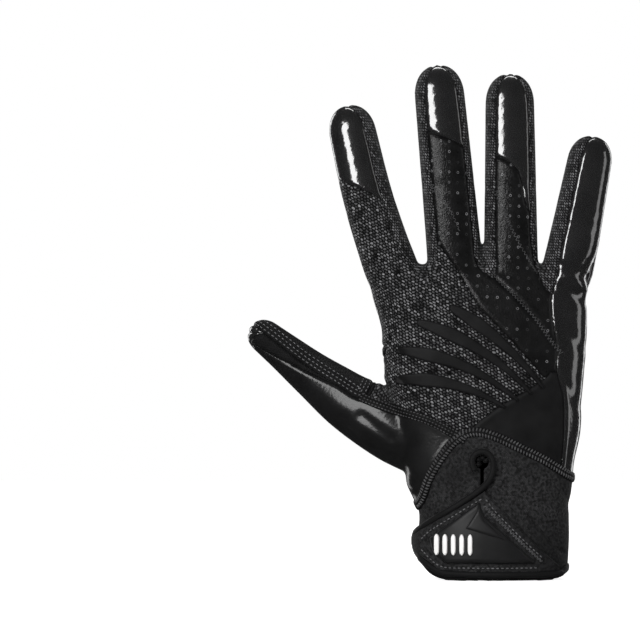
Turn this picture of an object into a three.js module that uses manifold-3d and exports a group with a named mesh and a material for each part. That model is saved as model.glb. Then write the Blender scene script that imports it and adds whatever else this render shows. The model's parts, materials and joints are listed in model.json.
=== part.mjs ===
// A right-hand receiver glove as worn: hollow, open at the wrist, fingers up, back of the hand towards -Y.
// The skin of the hand is lofted once, cut along its seams into panels, then trimmed with a closure, seam
// ridges and bindings. Millimetres, +Z up, +X towards the little finger, +Y towards the palm. The origin is
// the centre of the wrist opening.
import * as THREE from 'three';
import { mergeVertices } from 'three/addons/utils/BufferGeometryUtils.js';
import Module from 'manifold-3d';

const wasm = await Module();
wasm.setup();

// Driving sizes
const palmLength = 150; // hem to the webs between the fingers
const palmWidth = 105; // across the knuckles
const palmDepth = 40; // the thickest part of the heel of the hand
const thumbWidth = 33;
const thumbTip = 0.29; // how far the thumb's tip rounds off, as a share of thumbWidth
const curl = 9; // how far the middle fingertip bends towards the palm
const fingerFlatness = 0.83; // a finger's depth as a share of its width
const handWall = 1.4;
const cuffWall = 2.2;
const seamGap = 0.3; // clearance between neighbouring pieces
const hemHeight = 4;
const hemBulge = 0.8;
const seamRidgeWidth = 4.4;
const seamRidgeHeight = 1.6;
const finHeight = 0.8;
const patchThickness = 0.9;
const flapThickness = 1.8;
const bindingWidth = 3;
const bindingHeight = 2.6;
const bindingSteps = 2;
const bindingSides = 6;
const padThickness = 1.6;
const ribHeight = 1.2;
const ribWidth = 2.2;
const ribPitch = 4;
const ribLength = 10;
const ribCount = 5;
const keyholeRadius = 3.2;
const slitWidth = 1.6;

const fingerSides = 14;
const palmSides = 26;
const seamSteps = 2; // straight pieces from one listed point of a seam to the next
const simplified = 0.08; // the most that a cut surface moves when its smallest triangles are merged
const reach = 400; // longer than the glove, for cutters that pass right through it
const overrun = 16; // how far a fingertip's seam line runs on past the tip

// Each finger: its root's place across the palm, its sideways bow and its widths at the tip and the root as
// shares of palmWidth, its length from the webs as a share of palmLength, its lean in degrees towards the
// little finger, and how far from its middle the side strips are sewn, towards the thumb and towards the
// little finger, as shares of its half width.
const fingers = {
  index: { root: -0.469, length: 0.53, lean: -14.7, bow: -0.021, widths: [0.2095, 0.2438], seams: [1, 0.55] },
  middle: { root: -0.171, length: 0.6467, lean: -5.2, bow: 0, widths: [0.2238, 0.2524], seams: [0.66, 0.76] },
  ring: { root: 0.082, length: 0.616, lean: -0.2, bow: 0, widths: [0.219, 0.2476], seams: [0.64, 0.78] },
  pinky: { root: 0.348, length: 0.4227, lean: 11.2, bow: 0, widths: [0.1952, 0.2381], seams: [0.48, 1] },
};
const tipRounding = 0.62; // how far a fingertip rounds off, as a share of its width
const limbSquare = 2.25; // how square a finger's section is: 2 is an oval
const domePower = 0.85; // under 1 makes the rounded tips fuller

// Sections of the palm and cuff, hem to webs: height as a share of palmLength, both edges as shares of
// palmWidth, both faces as shares of palmDepth, how square the section is, and the hollow of the palm as a
// share of palmDepth.
const palmSections = [
  { up: 0, thumbEdge: -0.333, pinkyEdge: 0.338, back: -0.6, front: 0.6, square: 2.1, hollow: 0 },
  { up: 0.12, thumbEdge: -0.343, pinkyEdge: 0.348, back: -0.6, front: 0.6, square: 2.1, hollow: 0 },
  { up: 0.22, thumbEdge: -0.338, pinkyEdge: 0.348, back: -0.56, front: 0.55, square: 2.2, hollow: 0 },
  { up: 0.3, thumbEdge: -0.385, pinkyEdge: 0.362, back: -0.51, front: 0.55, square: 2.3, hollow: 0.04 },
  { up: 0.38, thumbEdge: -0.42, pinkyEdge: 0.375, back: -0.47, front: 0.55, square: 2.4, hollow: 0.08 },
  { up: 0.47, thumbEdge: -0.45, pinkyEdge: 0.4, back: -0.45, front: 0.54, square: 2.5, hollow: 0.12 },
  { up: 0.58, thumbEdge: -0.48, pinkyEdge: 0.407, back: -0.44, front: 0.5, square: 2.6, hollow: 0.14 },
  { up: 0.66, thumbEdge: -0.5, pinkyEdge: 0.416, back: -0.43, front: 0.45, square: 2.6, hollow: 0.13 },
  { up: 0.73, thumbEdge: -0.506, pinkyEdge: 0.425, back: -0.425, front: 0.41, square: 2.6, hollow: 0.1 },
  { up: 0.8, thumbEdge: -0.51, pinkyEdge: 0.43, back: -0.41, front: 0.38, square: 2.6, hollow: 0.07 },
  { up: 0.87, thumbEdge: -0.54, pinkyEdge: 0.432, back: -0.38, front: 0.35, square: 2.6, hollow: 0.04 },
  { up: 0.925, thumbEdge: -0.56, pinkyEdge: 0.436, back: -0.34, front: 0.31, square: 2.6, hollow: 0.02 },
  { up: 0.965, thumbEdge: -0.565, pinkyEdge: 0.44, back: -0.29, front: 0.28, square: 2.6, hollow: 0 },
  { up: 0.99, thumbEdge: -0.53, pinkyEdge: 0.42, back: -0.22, front: 0.22, square: 2.6, hollow: 0 },
  { up: 1.005, thumbEdge: -0.46, pinkyEdge: 0.36, back: -0.1, front: 0.1, square: 2.6, hollow: 0 },
];
const cuffEnds = [0.25, 0.4]; // where the thick wall of the cuff thins to that of the hand
const closesAbove = 0.98; // where the sections begin to close over between the fingers

// The thumb, from inside the heel of the hand to where its tip rounds off: its middle as shares of
// palmWidth, palmLength and palmDepth, and its width and depth as shares of thumbWidth.
const thumbSections = [
  { across: -0.24, up: 0.4, deep: 0.1, width: 0.95, depth: 0.9 },
  { across: -0.45, up: 0.483, deep: 0.2, width: 1.03, depth: 0.98 },
  { across: -0.652, up: 0.563, deep: 0.32, width: 0.88, depth: 0.86 },
  { across: -0.818, up: 0.647, deep: 0.44, width: 0.68, depth: 0.72 },
  { across: -0.948, up: 0.72, deep: 0.52, width: 0.56, depth: 0.64 },
  { across: -1.035, up: 0.768, deep: 0.56, width: 0.5, depth: 0.58 },
];

// Folds where the worn hand creases the skin: middle as shares of palmWidth and palmLength, which face it is
// on, with 0 for both, its radius as a share of palmWidth, and how far it sinks in, or below nought swells,
// as a share of palmDepth.
const folds = [
  { across: 0.46, up: 0.975, face: 0, radius: 0.07, sink: 0.07 },
  { across: 0.45, up: 0.88, face: 1, radius: 0.09, sink: 0.03 },
  { across: -0.44, up: 0.27, face: 0, radius: 0.07, sink: -0.09 },
  { across: -0.56, up: 0.62, face: 1, radius: 0.09, sink: 0.05 },
  { across: -0.5, up: 0.9, face: 0, radius: 0.08, sink: 0.03 },
];

// Seams on the back, as [share of palmWidth, share of palmLength], ends past the edge of the hand.
const indexCapSeam = [[-0.78, 1.29], [-0.718, 1.277], [-0.649, 1.256], [-0.575, 1.235], [-0.485, 1.205]];
const middleCapSeam = [
  [-0.33, 1.435], [-0.297, 1.43], [-0.251, 1.418], [-0.197, 1.403], [-0.133, 1.382], [-0.08, 1.36],
];
const ringCapSeam = [
  [-0.02, 1.355], [0.027, 1.344], [0.078, 1.328], [0.11, 1.305], [0.133, 1.262], [0.15, 1.2], [0.21, 1.13],
];
const knitSeam = [
  [-0.32, 1.12], [-0.266, 1.084], [-0.231, 1.046], [-0.178, 0.998], [-0.126, 0.937], [-0.065, 0.867],
  [0.018, 0.806], [0.098, 0.746], [0.166, 0.694], [0.238, 0.643], [0.288, 0.66],
];
const pinholeSeam = [
  [0.005, 0.985], [0.005, 0.966], [0.082, 0.912], [0.187, 0.832], [0.272, 0.75], [0.31, 0.72],
];
const sideSeam = [
  [0.265, 0.93], [0.262, 0.86], [0.276, 0.79], [0.29, 0.72], [0.288, 0.66], [0.318, 0.59], [0.322, 0.46],
  [0.31, 0.34],
];
const heelSeam = [
  [0.26, 0.66], [0.238, 0.643], [0.192, 0.62], [0.037, 0.557], [-0.018, 0.531], [-0.1, 0.48], [-0.11, 0.42],
];
const wristSeam = [
  [-0.44, 0.19], [-0.345, 0.243], [-0.297, 0.325], [-0.238, 0.394], [-0.179, 0.443], [-0.121, 0.467],
  [-0.063, 0.47], [0.025, 0.451], [0.112, 0.422], [0.229, 0.382], [0.346, 0.333], [0.44, 0.3],
];
const thumbBackSeam = [
  [-0.13, 0.446], [-0.179, 0.464], [-0.297, 0.506], [-0.475, 0.546], [-0.59, 0.577], [-0.61, 0.585],
];
// Seams on the palm, in the same shares
const palmCuffThumbSeam = [
  [-0.44, 0.262], [-0.36, 0.26], [-0.315, 0.25], [-0.296, 0.2], [-0.278, 0.13], [-0.262, 0.06], [-0.25, -0.1],
];
const palmCuffPinkySeam = [[0.44, 0.345], [0.346, 0.32], [0.245, 0.24], [0.2, 0.13], [0.182, -0.1]];
const thumbPalmSeam = [
  [-0.425, 0.787], [-0.411, 0.778], [-0.312, 0.715], [-0.224, 0.635], [-0.181, 0.538], [-0.168, 0.464],
  [-0.19, 0.384], [-0.268, 0.317], [-0.345, 0.285], [-0.42, 0.275], [-0.52, 0.27],
];
// Where the seam along each edge of the hand starts, up from the hem: on the thumb's and little finger's edge
const edgeSeamStarts = [0.228, 0.318];
// The lowest stretch of the strip between each pair of fingers
const webs = {
  indexMiddle: [[-0.37, 1.0], [-0.315, 0.968], [-0.28, 1.0]],
  middleRing: [[-0.075, 1.015], [-0.035, 0.975], [0.002, 0.964]],
  ringPinky: [[0.21, 0.97], [0.235, 0.93], [0.265, 0.912], [0.28, 0.95]],
};
// The thumb's own strip: where it turns on the back and on the palm, and how far from the thumb's middle it
// is sewn, as a share of the thumb's half width
const thumbWebBack = [
  [-0.7, 0.612], [-0.62, 0.578], [-0.59, 0.577], [-0.545, 0.63], [-0.525, 0.68], [-0.6, 0.76],
];
const thumbWebPalm = [
  [-0.7, 0.62], [-0.6, 0.575], [-0.496, 0.547], [-0.455, 0.65], [-0.411, 0.778], [-0.6, 0.84],
];
const thumbSeamShare = 0.15;
// The hem's lower edge, which rises a little at both sides of the wrist
const hemEdge = [
  [-0.45, 0.09], [-0.345, 0.055], [-0.3, 0.022], [-0.25, 0.004], [-0.2, 0], [0.25, 0], [0.31, 0.007],
  [0.345, 0.022], [0.45, 0.05],
];
// The closure: the keyhole of the cuff's slit, the middle of the binding that runs from round the keyhole
// down the flap's upper edge, round its end and along the hem, and how far along it has climbed on the flap
const keyhole = [-0.055, 0.375];
const bindingPath = [
  [-0.088, 0.348], [-0.1057, 0.375], [-0.0905, 0.4], [-0.055, 0.411], [-0.0195, 0.4], [-0.004, 0.375],
  [-0.008, 0.342], [-0.032, 0.31], [-0.07, 0.286], [-0.17, 0.238], [-0.283, 0.19], [-0.345, 0.158],
  [-0.371, 0.138], [-0.378, 0.122], [-0.371, 0.104], [-0.338, 0.073], [-0.25, 0.027], [-0.15, 0.021],
  [-0.04, 0.019], [0.07, 0.019], [0.17, 0.019], [0.25, 0.02], [0.31, 0.022],
];
const bindingClimb = 0.37;
// The flap from its free end on, as [share across, share up of its lower and upper edges]
const flapEdges = [
  [-0.352, 0.11, 0.132], [-0.335, 0.092, 0.147], [-0.3, 0.068, 0.167], [-0.25, 0.044, 0.189],
  [-0.17, 0.038, 0.221], [-0.1, 0.036, 0.255], [-0.045, 0.036, 0.283], [0, 0.036, 0.245],
  [0.06, 0.036, 0.2], [0.13, 0.036, 0.15], [0.22, 0.036, 0.09], [0.29, 0.036, 0.046],
];
const patchOutline = [[-0.24, 0.07], [-0.075, 0.07], [-0.075, 0.2], [-0.19, 0.18]];
const padOutline = [
  [-0.072, 0.25], [-0.05, 0.208], [0.19, 0.056], [-0.225, 0.056], [-0.285, 0.092], [-0.3, 0.135],
];
const ribCentre = [-0.19, 0.115];
// Tapered fins on the back of the hand: root and tip as shares, and the sideways bow as a share of palmWidth
const fins = [
  { root: [0.225, 0.61], tip: [-0.2, 0.87], bow: 0.03 },
  { root: [0.17, 0.592], tip: [-0.35, 0.82], bow: 0.045 },
  { root: [0.11, 0.57], tip: [-0.44, 0.73], bow: 0.05 },
  { root: [0.05, 0.548], tip: [-0.45, 0.635], bow: 0.045 },
];
// A fin's widths, as shares of palmWidth, at shares of its length
const finWidths = [[0, 0.0152], [0.75, 0.0648], [1, 0.0324], [2, 0.0324]];
const finSteps = 9;

// From shares to millimetres
const place = ([across, up]) => new THREE.Vector2(across * palmWidth, up * palmLength);
const places = (rows) => rows.map(place);
const flat = ({ x, y }) => new THREE.Vector2(x, y);
function flatCurve(points, steps = seamSteps) {
  const smooth = new THREE.CatmullRomCurve3(points.map(({ x, y }) => new THREE.Vector3(x, y, 0)));
  return smooth.getPoints(steps * (points.length - 1)).map(flat);
}
const curve = (rows, steps) => flatCurve(places(rows), steps);

// Solids
function toSolid(geometry) {
  const bare = (geometry.index ? geometry.toNonIndexed() : geometry.clone());
  for (const name of ['normal', 'uv']) bare.deleteAttribute(name);
  const merged = mergeVertices(bare, 1e-4);
  return new wasm.Manifold(new wasm.Mesh({
    numProp: 3,
    vertProperties: merged.attributes.position.array,
    triVerts: new Uint32Array(merged.index.array),
  }));
}

const largest = (solid) => solid.decompose().sort((a, b) => b.volume() - a.volume())[0];

function toGeometry(solid) {
  const mesh = largest(solid.simplify(simplified)).getMesh();
  const geometry = new THREE.BufferGeometry();
  geometry.setAttribute('position', new THREE.BufferAttribute(mesh.vertProperties, 3));
  geometry.setIndex(new THREE.BufferAttribute(mesh.triVerts, 1));
  geometry.computeVertexNormals();
  return geometry;
}

// A closed body through rings of points that all have the same count and turn the same way.
function loft(rings) {
  const count = rings[0].length;
  const points = rings.flat();
  const middle = (ring) => ring.reduce((sum, p) => sum.add(p), new THREE.Vector3()).divideScalar(count);
  points.push(middle(rings[0]), middle(rings.at(-1)));
  const [first, last] = [points.length - 2, points.length - 1];
  const faces = [];
  for (let side = 0; side < count; side++) {
    const next = (side + 1) % count;
    for (let ring = 0; ring < rings.length - 1; ring++) {
      const [a, b] = [ring * count + side, ring * count + next];
      faces.push(a, b, b + count, a, b + count, a + count);
    }
    const top = (rings.length - 1) * count;
    faces.push(first, next, side, last, top + side, top + next);
  }
  const geometry = new THREE.BufferGeometry().setFromPoints(points);
  geometry.setIndex(faces);
  return toSolid(geometry);
}

// An outline seen from the back of the hand, carried right through the glove.
function prism(outline) {
  const geometry = new THREE.ExtrudeGeometry(new THREE.Shape(outline), { depth: reach, bevelEnabled: false });
  return toSolid(geometry.rotateX(Math.PI / 2).translate(0, reach / 2, 0));
}

// The outline of a strip along a line, mitred at its corners, of one width or of a width that depends on the
// share of the line's points passed.
function strip(line, width) {
  const widthAt = typeof width === 'function' ? width : () => width;
  const normals = line.slice(1).map((point, i) => {
    const onward = point.clone().sub(line[i]).normalize();
    return new THREE.Vector2(-onward.y, onward.x);
  });
  const edges = [1, -1].map((side) => line.map((point, i) => {
    const before = normals[Math.max(i - 1, 0)];
    const mitre = before.clone().add(normals[Math.min(i, normals.length - 1)]).normalize();
    const halfWidth = widthAt(i / (line.length - 1)) / 2;
    return point.clone().addScaledVector(mitre, side * halfWidth / Math.max(mitre.dot(before), 0.3));
  }));
  return [...edges[0], ...edges[1].reverse()];
}

// The corners of a circle.
function circle(centre, radius, count = 20) {
  const angles = Array.from({ length: count }, (_, i) => i * 2 * Math.PI / count);
  const corner = (angle) => new THREE.Vector2(Math.cos(angle), Math.sin(angle));
  return angles.map((angle) => corner(angle).multiplyScalar(radius).add(centre));
}

// The skin of the hand
function foldAt(point, out) {
  let sink = 0;
  for (const fold of folds) {
    if (fold.face && Math.sign(out.y) !== fold.face) continue;
    const [across, up] = [point.x - fold.across * palmWidth, point.z - fold.up * palmLength];
    const away = Math.hypot(across, up) / (fold.radius * palmWidth);
    sink += fold.sink * palmDepth * Math.exp(-away * away);
  }
  return sink;
}

// One ring of a section: an oval of given half sizes about a middle, in a frame, with the folds pressed in.
function ring(middle, side, deep, [halfWidth, halfDepth], square, hollow, count) {
  return Array.from({ length: count }, (_, i) => {
    const angle = i * 2 * Math.PI / count;
    const bend = (value) => Math.sign(value) * Math.abs(value) ** (2 / square);
    const [across, depth] = [bend(Math.cos(angle)), bend(Math.sin(angle))];
    const inward = depth > 0 ? hollow * Math.exp(-((across / 0.5) ** 2)) : 0;
    const point = middle.clone()
      .addScaledVector(side, across * halfWidth)
      .addScaledVector(deep, depth * halfDepth - inward);
    const out = side.clone().multiplyScalar(Math.cos(angle)).addScaledVector(deep, Math.sin(angle));
    return point.addScaledVector(out, -foldAt(point, out));
  });
}

const xAxis = new THREE.Vector3(1, 0, 0);
const yAxis = new THREE.Vector3(0, 1, 0);
function wallAt(up) {
  return THREE.MathUtils.mapLinear(THREE.MathUtils.clamp(up, ...cuffEnds), ...cuffEnds, cuffWall, handWall);
}

// The palm and cuff, grown by an offset, or shrunk by the wall where inside is true.
function palmBody(offset, inside) {
  const rings = palmSections.map((row) => {
    const grow = inside ? offset - wallAt(row.up) : offset;
    const [left, right] = [row.thumbEdge * palmWidth, row.pinkyEdge * palmWidth];
    const [back, front] = [row.back * palmDepth, row.front * palmDepth];
    const lift = row.up > closesAbove ? grow : 0;
    const middle = new THREE.Vector3((left + right) / 2, (back + front) / 2, row.up * palmLength + lift);
    const halves = [(right - left) / 2 + grow, (front - back) / 2 + grow];
    return ring(middle, xAxis, yAxis, halves, row.square, row.hollow * palmDepth, palmSides);
  });
  if (inside) rings.unshift(rings[0].map((point) => point.clone().setZ(-hemHeight)));
  return loft(rings);
}

// A finger or the thumb: ovals along a curved middle line, closed by a rounded tip.
const domeAngles = [0, 30, 57, 78].map(THREE.MathUtils.degToRad);
function limbBody({ spine, rows, tipLength }, offset) {
  const frameAt = (share) => {
    const along = spine.getTangent(share);
    const side = yAxis.clone().cross(along).normalize();
    return { middle: spine.getPoint(share), along, side, deep: along.clone().cross(side) };
  };
  const rings = rows.slice(0, -1).map(({ share, width, depth }) => {
    const { middle, side, deep } = frameAt(share);
    return ring(middle, side, deep, [width / 2 + offset, depth / 2 + offset], limbSquare, 0, fingerSides);
  });
  const end = rows.at(-1);
  const { middle, along, side, deep } = frameAt(end.share);
  for (const angle of domeAngles) {
    const centre = middle.clone().addScaledVector(along, (tipLength + offset) * Math.sin(angle));
    const halves = [end.width, end.depth].map((size) => (size / 2 + offset) * Math.cos(angle) ** domePower);
    rings.push(ring(centre, side, deep, halves, limbSquare, 0, fingerSides));
  }
  return loft(rings);
}

const fingerLength = (finger) => finger.length * palmLength;
const middleReach = fingerLength(fingers.middle) * Math.cos(THREE.MathUtils.degToRad(fingers.middle.lean));
const curlAt = (height) => curl * Math.max(0, (height - palmLength) / middleReach) ** 2;

// The middle line of a finger at a share of its length from the webs, on the mid surface of the hand.
function fingerPoint(finger, share) {
  const lean = THREE.MathUtils.degToRad(finger.lean);
  const along = share * fingerLength(finger);
  const bow = finger.bow * palmWidth * 4 * share * (1 - share);
  const x = finger.root * palmWidth + along * Math.sin(lean) + bow * Math.cos(lean);
  const z = palmLength + along * Math.cos(lean);
  return new THREE.Vector3(x, curlAt(z), z);
}

function fingerWidth({ widths: [tip, root] }, share) {
  return THREE.MathUtils.lerp(root, tip, THREE.MathUtils.clamp(share, 0, 1)) * palmWidth;
}
const tipShare = (finger) => 1 - tipRounding * fingerWidth(finger, 1) / fingerLength(finger);

// A finger's rings start inside the palm, where the first is a little narrower, and end where the tip rounds
// off.
const ringShares = [-0.3, -0.06, 0.15, 0.45];
const buriedWidth = 0.8;
function fingerLimb(finger) {
  const last = tipShare(finger);
  const shares = [...ringShares, last];
  const spine = new THREE.CatmullRomCurve3(shares.map((share) => fingerPoint(finger, share)));
  const rows = shares.map((share, i) => {
    const width = fingerWidth(finger, share) * (i === 0 ? buriedWidth : 1);
    return { share: i / (shares.length - 1), width, depth: width * fingerFlatness };
  });
  return { spine, rows, tipLength: (1 - last) * fingerLength(finger) };
}

function thumbLimb() {
  const points = thumbSections.map(({ across, up, deep }) =>
    new THREE.Vector3(across * palmWidth, deep * palmDepth, up * palmLength));
  const rows = thumbSections.map((row, i) => ({
    share: i / (thumbSections.length - 1),
    width: row.width * thumbWidth,
    depth: row.depth * thumbWidth,
  }));
  return { spine: new THREE.CatmullRomCurve3(points), rows, tipLength: thumbTip * thumbWidth };
}

const limbs = [...Object.values(fingers).map(fingerLimb), thumbLimb()];
const grownHands = new Map();
function hand(offset, inside = false) {
  const key = `${offset} ${inside}`;
  if (!grownHands.has(key)) {
    const grow = inside ? offset - handWall : offset;
    const bodies = [palmBody(offset, inside), ...limbs.map((limb) => limbBody(limb, grow))];
    grownHands.set(key, bodies.reduce((whole, body) => whole.add(body)));
  }
  return grownHands.get(key);
}

// The surface that parts the back from the palm: a depth over [across, height] that follows the middle of the
// palm sections and fingers and, beside and below them, the middle line of the thumb, which fades upwards.
const palmRise = palmSections.map((row) => [row.up * palmLength, (row.back + row.front) / 2 * palmDepth]);
const thumbRise = thumbSections.map((row) => [row.across * palmWidth, row.deep * palmDepth]).reverse();
const thumbFades = [0.74 * palmLength, 0.86 * palmLength];
const thumbStarts = -0.1 * palmWidth;
const curlHeights = [1, 1.1, 1.2, 1.3, 1.4, 1.5, 1.6, 1.7].map((up) => up * palmLength);
function along(rows, at) {
  const next = rows.findIndex(([place]) => place > at);
  if (next < 1) return rows.at(next)[1];
  return THREE.MathUtils.mapLinear(at, rows[next - 1][0], rows[next][0], rows[next - 1][1], rows[next][1]);
}
const partingAcross = [-reach, ...thumbRise.map(([x]) => x), thumbStarts, reach];
const partingHeights = [-reach, 0, ...thumbFades, ...curlHeights, reach];
function partingDepth(x, z) {
  const fade = 1 - THREE.MathUtils.clamp((z - thumbFades[0]) / (thumbFades[1] - thumbFades[0]), 0, 1);
  const thumb = x > thumbStarts ? 0 : along([...thumbRise, [thumbStarts, 0], [0, 0]], x);
  const palm = along([[-reach, 0], ...palmRise, [reach, 0]], z);
  return palm + fade * thumb + curlAt(Math.min(z, curlHeights.at(-1)));
}

// All that lies on the palm's side of the parting surface moved by a shift.
function palmSpace(shift) {
  return loft(partingHeights.map((z) => {
    const near = partingAcross.map((x) => new THREE.Vector3(x, partingDepth(x, z) + shift, z));
    const far = partingAcross.map((x) => new THREE.Vector3(x, reach, z));
    return [...near, ...far.reverse()];
  }));
}
const palmHalf = palmSpace(0);
const backOf = (solid) => solid.subtract(palmHalf);
const palmOf = (solid) => solid.intersect(palmHalf);
function box(x0, x1, z0, z1) {
  return prism([[x0, z0], [x1, z0], [x1, z1], [x0, z1]].map(([x, y]) => flat({ x, y })));
}

// Seams of a finger: the line at a share of its half width, from the webs up and over the tip, through places
// at shares of the finger's length and at degrees round its rounded end.
const seamShares = [0.12, 0.3, 0.5, 0.7];
const seamShareSpan = 0.75;
const seamDegrees = [20, 45, 65, 80, 90];
function fingerSeam(finger, side, seamShare) {
  const lean = THREE.MathUtils.degToRad(finger.lean);
  const across = new THREE.Vector2(Math.cos(lean), -Math.sin(lean));
  const upward = new THREE.Vector2(Math.sin(lean), Math.cos(lean));
  const last = tipShare(finger);
  const middleAt = (share) => {
    const { x, z } = fingerPoint(finger, share);
    return flat({ x, y: z });
  };
  const points = seamShares.map((share) => middleAt(share * last / seamShareSpan)
    .addScaledVector(across, side * seamShare * fingerWidth(finger, share) / 2));
  const tip = (1 - last) * fingerLength(finger);
  for (const angle of seamDegrees.map(THREE.MathUtils.degToRad)) {
    points.push(middleAt(last)
      .addScaledVector(upward, tip * Math.sin(angle))
      .addScaledVector(across, side * seamShare * fingerWidth(finger, 1) / 2 * Math.cos(angle)));
  }
  points.push(middleAt(last).addScaledVector(upward, tip + overrun));
  return points;
}

// The seam round a strip between two fingers, over one tip, down, through the web and up over the other tip.
const webSeam = (first, web, second) => [
  ...fingerSeam(fingers[first], 1, fingers[first].seams[1]).reverse(),
  ...places(web),
  ...fingerSeam(fingers[second], -1, fingers[second].seams[0]),
];
const webSeams = [
  webSeam('index', webs.indexMiddle, 'middle'),
  webSeam('middle', webs.middleRing, 'ring'),
  webSeam('ring', webs.ringPinky, 'pinky'),
];

// The thumb's strip runs along the side of the thumb that faces the index finger, over its last two sections.
const outerThumb = 0.6; // the share of the thumb's length where the last two sections begin
function thumbStripSeam(turn) {
  const { spine, tipLength, rows } = thumbLimb();
  const [end, onward] = [spine.getPoint(1), spine.getTangent(1)];
  const tip = flat({ x: end.x, y: end.z })
    .addScaledVector(flat({ x: onward.x, y: onward.z }), tipLength + overrun);
  const points = [1, 0.85, 0.7].map((share) => {
    const [middle, tangent] = [spine.getPoint(share), spine.getTangent(share)];
    const passed = THREE.MathUtils.mapLinear(share, outerThumb, 1, 0, 1);
    const half = THREE.MathUtils.lerp(rows.at(-3).width, rows.at(-1).width, passed) / 2;
    const lift = new THREE.Vector2(-tangent.z, tangent.x).normalize().multiplyScalar(-thumbSeamShare * half);
    return flat({ x: middle.x, y: middle.z }).add(lift);
  });
  return flatCurve([tip, ...points, ...places(turn)]);
}
const thumbStripBack = thumbStripSeam(thumbWebBack);
const thumbStripPalm = thumbStripSeam(thumbWebPalm);

// Cutting the skin along its seams
const blade = (line) => prism(strip(line, seamGap));
const joined = (solids) => solids.reduce((whole, solid) => whole.add(solid));
const betweenFingers = joined(webSeams.map((line) =>
  prism([...line, flat({ x: line.at(-1).x, y: reach }), flat({ x: line[0].x, y: reach })])));
const beyondThumb = new THREE.Vector2(-1.6 * palmWidth, palmLength);
const [besideThumbBack, besideThumbPalm] = [thumbStripBack, thumbStripPalm]
  .map((line) => prism([...line, beyondThumb]));

const backSeams = [
  indexCapSeam, middleCapSeam, ringCapSeam, knitSeam, pinholeSeam, sideSeam, heelSeam, wristSeam,
  thumbBackSeam,
];
const palmSeams = [palmCuffThumbSeam, palmCuffPinkySeam, thumbPalmSeam];
const [backBlades, palmBlades] = [[backSeams, backOf], [palmSeams, palmOf]]
  .map(([seams, side]) => side(joined(seams.map((rows) => blade(curve(rows))))));
const throughBlades = joined(webSeams.map(blade));

// The edge seam, where back meets palm, stops at the strips beside the fingers and thumb and at the cuff.
const edgeSeam = palmSpace(-seamGap / 2).subtract(palmSpace(seamGap / 2))
  .subtract(betweenFingers)
  .subtract(besideThumbBack.intersect(besideThumbPalm))
  .subtract(box(-reach, 0, -reach, edgeSeamStarts[0] * palmLength))
  .subtract(box(0, reach, -reach, edgeSeamStarts[1] * palmLength));
const thumbStripBlades = backOf(blade(thumbStripBack)).add(palmOf(blade(thumbStripPalm)));

const skin = hand(0).subtract(hand(0, true));
// All that lies below the hem's edge moved up by a lift.
function belowHem(lift) {
  const edge = places(hemEdge).map(({ x, y }) => flat({ x, y: y + lift }));
  return prism([...edge, flat({ x: reach, y: -reach }), flat({ x: -reach, y: -reach })]);
}
const keyholeCut = backOf(joined([
  prism(circle(place(keyhole), keyholeRadius)),
  prism(strip([place(keyhole), flat({ x: place(keyhole).x, y: -reach })], slitWidth)),
]));
const cutters = [
  belowHem(hemHeight + seamGap), keyholeCut, backBlades, palmBlades, throughBlades, edgeSeam,
  thumbStripBlades,
];
const panels = cutters.reduce((solid, cutter) => solid.subtract(cutter), skin).decompose();

// The panel that a line through the back or the palm at a place meets.
function panelAt(point, side) {
  const probe = side(prism(circle(place(point), 1, 8)));
  const shares = panels.map((panel) => panel.intersect(probe).volume());
  return panels[shares.indexOf(Math.max(...shares))];
}

// A layer that follows the skin of the back at a height, within an outline.
const layer = (outline, from, to) => backOf(hand(to).subtract(hand(from)).intersect(prism(outline)));

// Trims
const wristRidge = joined([curve(wristSeam.slice(1, -1)), curve(thumbBackSeam.slice(1, -1))]
  .map((line) => prism(strip(line, seamRidgeWidth))));
const wristTrim = backOf(hand(seamGap + seamRidgeHeight).subtract(hand(seamGap)).intersect(wristRidge));

function finTrim({ root, tip, bow }) {
  const [from, to] = [place(root), place(tip)];
  const side = new THREE.Vector2(to.y - from.y, from.x - to.x).normalize();
  const line = Array.from({ length: finSteps + 1 }, (_, i) => i / finSteps).map((share) =>
    from.clone().lerp(to, share).addScaledVector(side, bow * palmWidth * 4 * share * (1 - share)));
  const outline = strip(line, (share) => along(finWidths, share) * palmWidth);
  return layer(outline, seamGap, seamGap + finHeight);
}

// A place on the cuff's back, [across, up] in shares as seen from the front of a layer at viewLift, at some
// other lift. Beyond the thumb's edge of the cuff it goes on round towards the palm.
const below = { ...palmSections[0], up: -1 };
function onCuff([across, up], viewLift, lift) {
  const at = (key) => along([below, ...palmSections].map((row) => [row.up, row[key]]), up);
  const [left, right] = [at('thumbEdge') * palmWidth, at('pinkyEdge') * palmWidth];
  const [back, front] = [at('back') * palmDepth, at('front') * palmDepth];
  const [halfX, halfY, square] = [(right - left) / 2, (front - back) / 2, at('square')];
  const seen = (across * palmWidth - (left + right) / 2) / (halfX + viewLift);
  const other = (share) => (1 - Math.abs(share) ** square) ** (1 / square);
  const beyond = Math.abs(seen) > 1;
  const round = beyond ? (Math.abs(seen) - 1) * halfX / halfY : -other(seen);
  const sideways = beyond ? Math.sign(seen) * other(round) : seen;
  const x = (left + right) / 2 + sideways * (halfX + lift);
  return new THREE.Vector3(x, (back + front) / 2 + round * (halfY + lift), up * palmLength);
}

// The closure, from the cuff outwards: patch, flap with its binding, pad and grip ribs.
const patchTop = seamGap + patchThickness;
const flapBase = patchTop + seamGap;
const flapTop = flapBase + flapThickness;
const padBase = flapTop + seamGap;
const bindingLift = seamGap + bindingHeight / 2;
const flapRows = 7;
const flap = loft(flapEdges.map(([across, low, high]) => {
  const row = (lift) => Array.from({ length: flapRows }, (_, i) =>
    onCuff([across, THREE.MathUtils.lerp(low, high, i / (flapRows - 1))], flapTop, lift));
  return [...row(flapBase), ...row(flapTop).reverse()];
}));

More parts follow.
